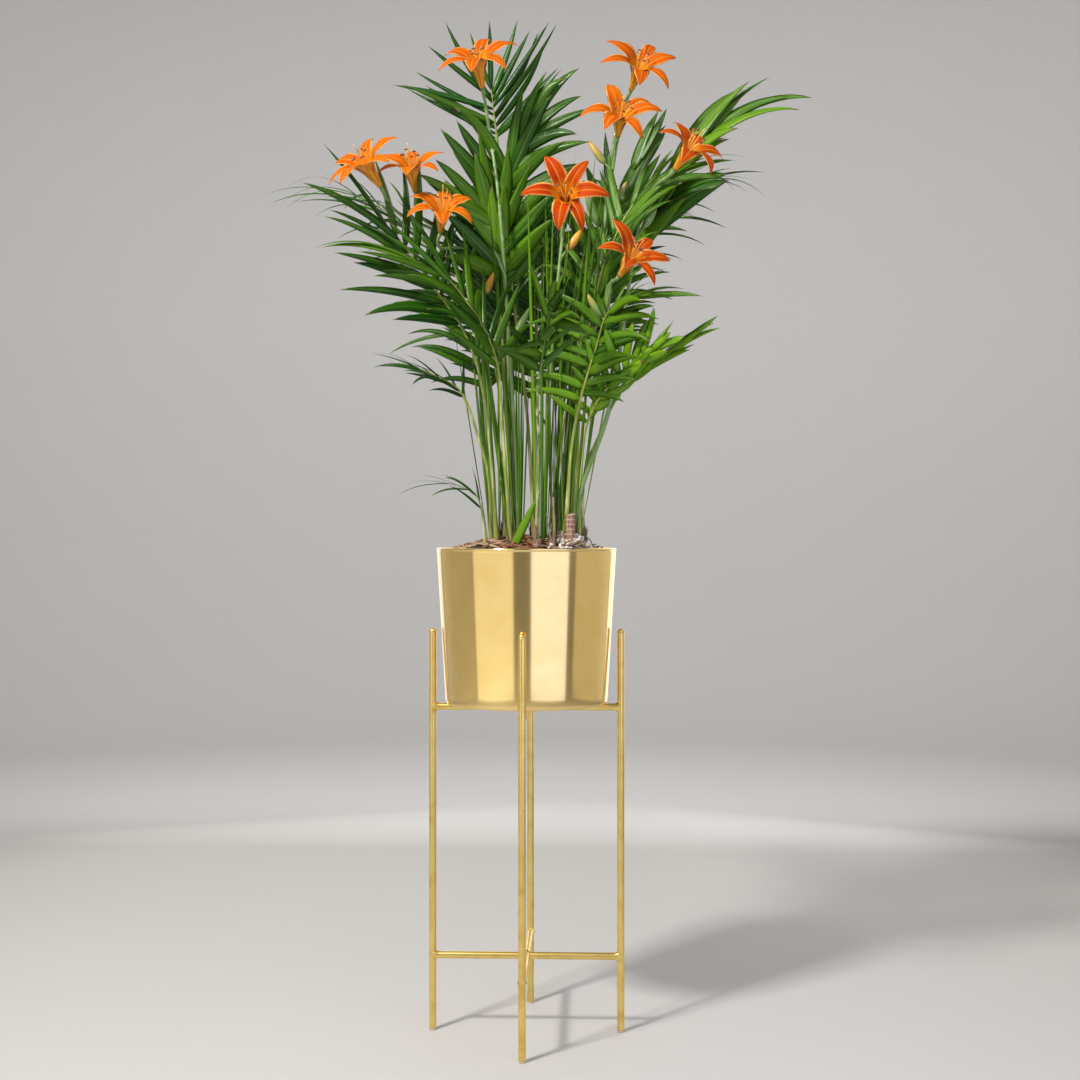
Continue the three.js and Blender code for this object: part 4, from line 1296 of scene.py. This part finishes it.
def makeBud(scape, start, length, ripeness, side, rng):
    # a thin stem, and a bud that swells and narrows again along it
    way = unit(np.array([side, rng.normal(0, 0.3), 1.1]))
    stem = start + np.linspace(0, 1, 6)[:, None] * way * 12 * mm
    scape.add(tubeRings(stem, 1.2 * mm, 8), "lilyGreen", tone=0.1, along=0.2)
    stations, around = 14, 12
    s = np.linspace(0, 1, stations)
    line = stem[-1] + s[:, None] * way * length * mm + (s ** 2)[:, None] * np.array([0, 0, 3 * mm])
    swell = (0.9 + 3.6 * np.maximum(np.sin(np.pi * s ** 0.75), 0) ** 0.8) * mm
    scape.add(tubeRings(line, swell, around), "lilyGreen", tone=ripeness, along=perStation(s),
              across=rangeRound(around))


def makeScape(number, name, row):
    # one flower stalk from the soil to each of its flowers, with buds, bracts and strap leaves
    foot, fork, heads, buds = row
    c = scapeShape
    rng = np.random.default_rng(500 + number)
    root = np.array([*foot, stemStart / mm])
    split = np.array(fork, float)
    knee = root + (split - root) * [0.25, 0.25, 0.4]
    scape = Piece("lily_" + name, "planter", "flower_stalk", [name])
    lines = []
    for head in heads:
        end = np.array(lilies[head][0], float)
        facing = unit(np.array(lilies[head][1], float))
        before = end - facing * 0.25 * np.linalg.norm(end - split)
        line = throughPoints(np.stack([root, knee, split, before, end]) * mm, c["stations"])
        lines.append(line)
        s = np.linspace(0, 1, c["stations"])
        radii = (2.7 - 1.0 * s + 0.7 * np.exp(-((1 - s) / 0.02) ** 2)) * mm
        scape.add(tubeRings(line, radii, c["around"]), "lilyGreen", tone=perStation(0.1 * s),
                  along=perStation(s), across=rangeRound(c["around"]))
    for branch, share, length, ripeness, side in buds:
        start = lines[branch][int(share * (c["stations"] - 1))]
        makeBud(scape, start, length, ripeness, side, rng)
    # strap leaves in a tuft round the stalk's foot; the long ones arch over
    count = c["straps"]
    out = headings(rng.uniform(0, 2 * np.pi, count))
    reach = rng.uniform(0, 1, count) ** 0.8
    lean = rng.uniform(0.02, 0.13, (count, 1)) * out + [split[0] * 0.0007, split[1] * 0.0004, 1]
    base = root * mm + out * rng.uniform(2, 9, (count, 1)) * mm
    length, half = (low + more * reach for low, more in (c["strapLength"], c["strapHalfWidth"]))
    half = half * mm * rng.uniform(0.7, 1.1, count)
    bend = rng.uniform(0.02, 0.16, count) + 0.35 * reach ** 3
    rings, across, along = bladeRings(base, unit(lean), -out, length * mm, half, bend, fold=0.45, neck=0.30,
                                      twist=rng.normal(0, 0.7, count), rise=0.32, shape=3.0, stations=19)
    scape.add(rings, "leaf", across=across, along=0.9 * along, tone=rng.uniform(0.1, 1, (count, 1, 1)),
              fresh=rng.uniform(0.2, 0.9, (count, 1, 1)))
    if name == "scape_middle":
        place, way, upper, length, half = shortLeaf
        rings, across, along = bladeRings(np.array([place]) * mm, unit(np.array([way])), np.array([upper]),
                                          length, half, 0.05, fold=0.25, neck=0.35, shape=3.4, stations=17)
        scape.add(rings, "leaf", across=across, along=0.9 * along, tone=0.9, fresh=0.62)
    # small bracts at the fork and up the stalks
    *lower, last = c["bracts"]
    at = np.concatenate([lines[0][lower], lines[-1][[last]]])
    count = len(at)
    out = headings(rng.uniform(0, 2 * np.pi, count))
    rings, across, along = bladeRings(at, unit(out * 0.5 + [0, 0, 1]), -out + [0, 0, 0.5],
                                      rng.uniform(*c["bractLength"], count) * mm, 3.0 * mm, 0.1,
                                      fold=-0.5, neck=0.9)
    scape.add(rings, "lilyGreen", across=across, along=along, tone=rng.uniform(0.0, 0.35, (count, 1, 1)))
    scape.make()


for number, (name, row) in enumerate(scapes.items()):
    makeScape(number, name, row)
print("day lilies made")
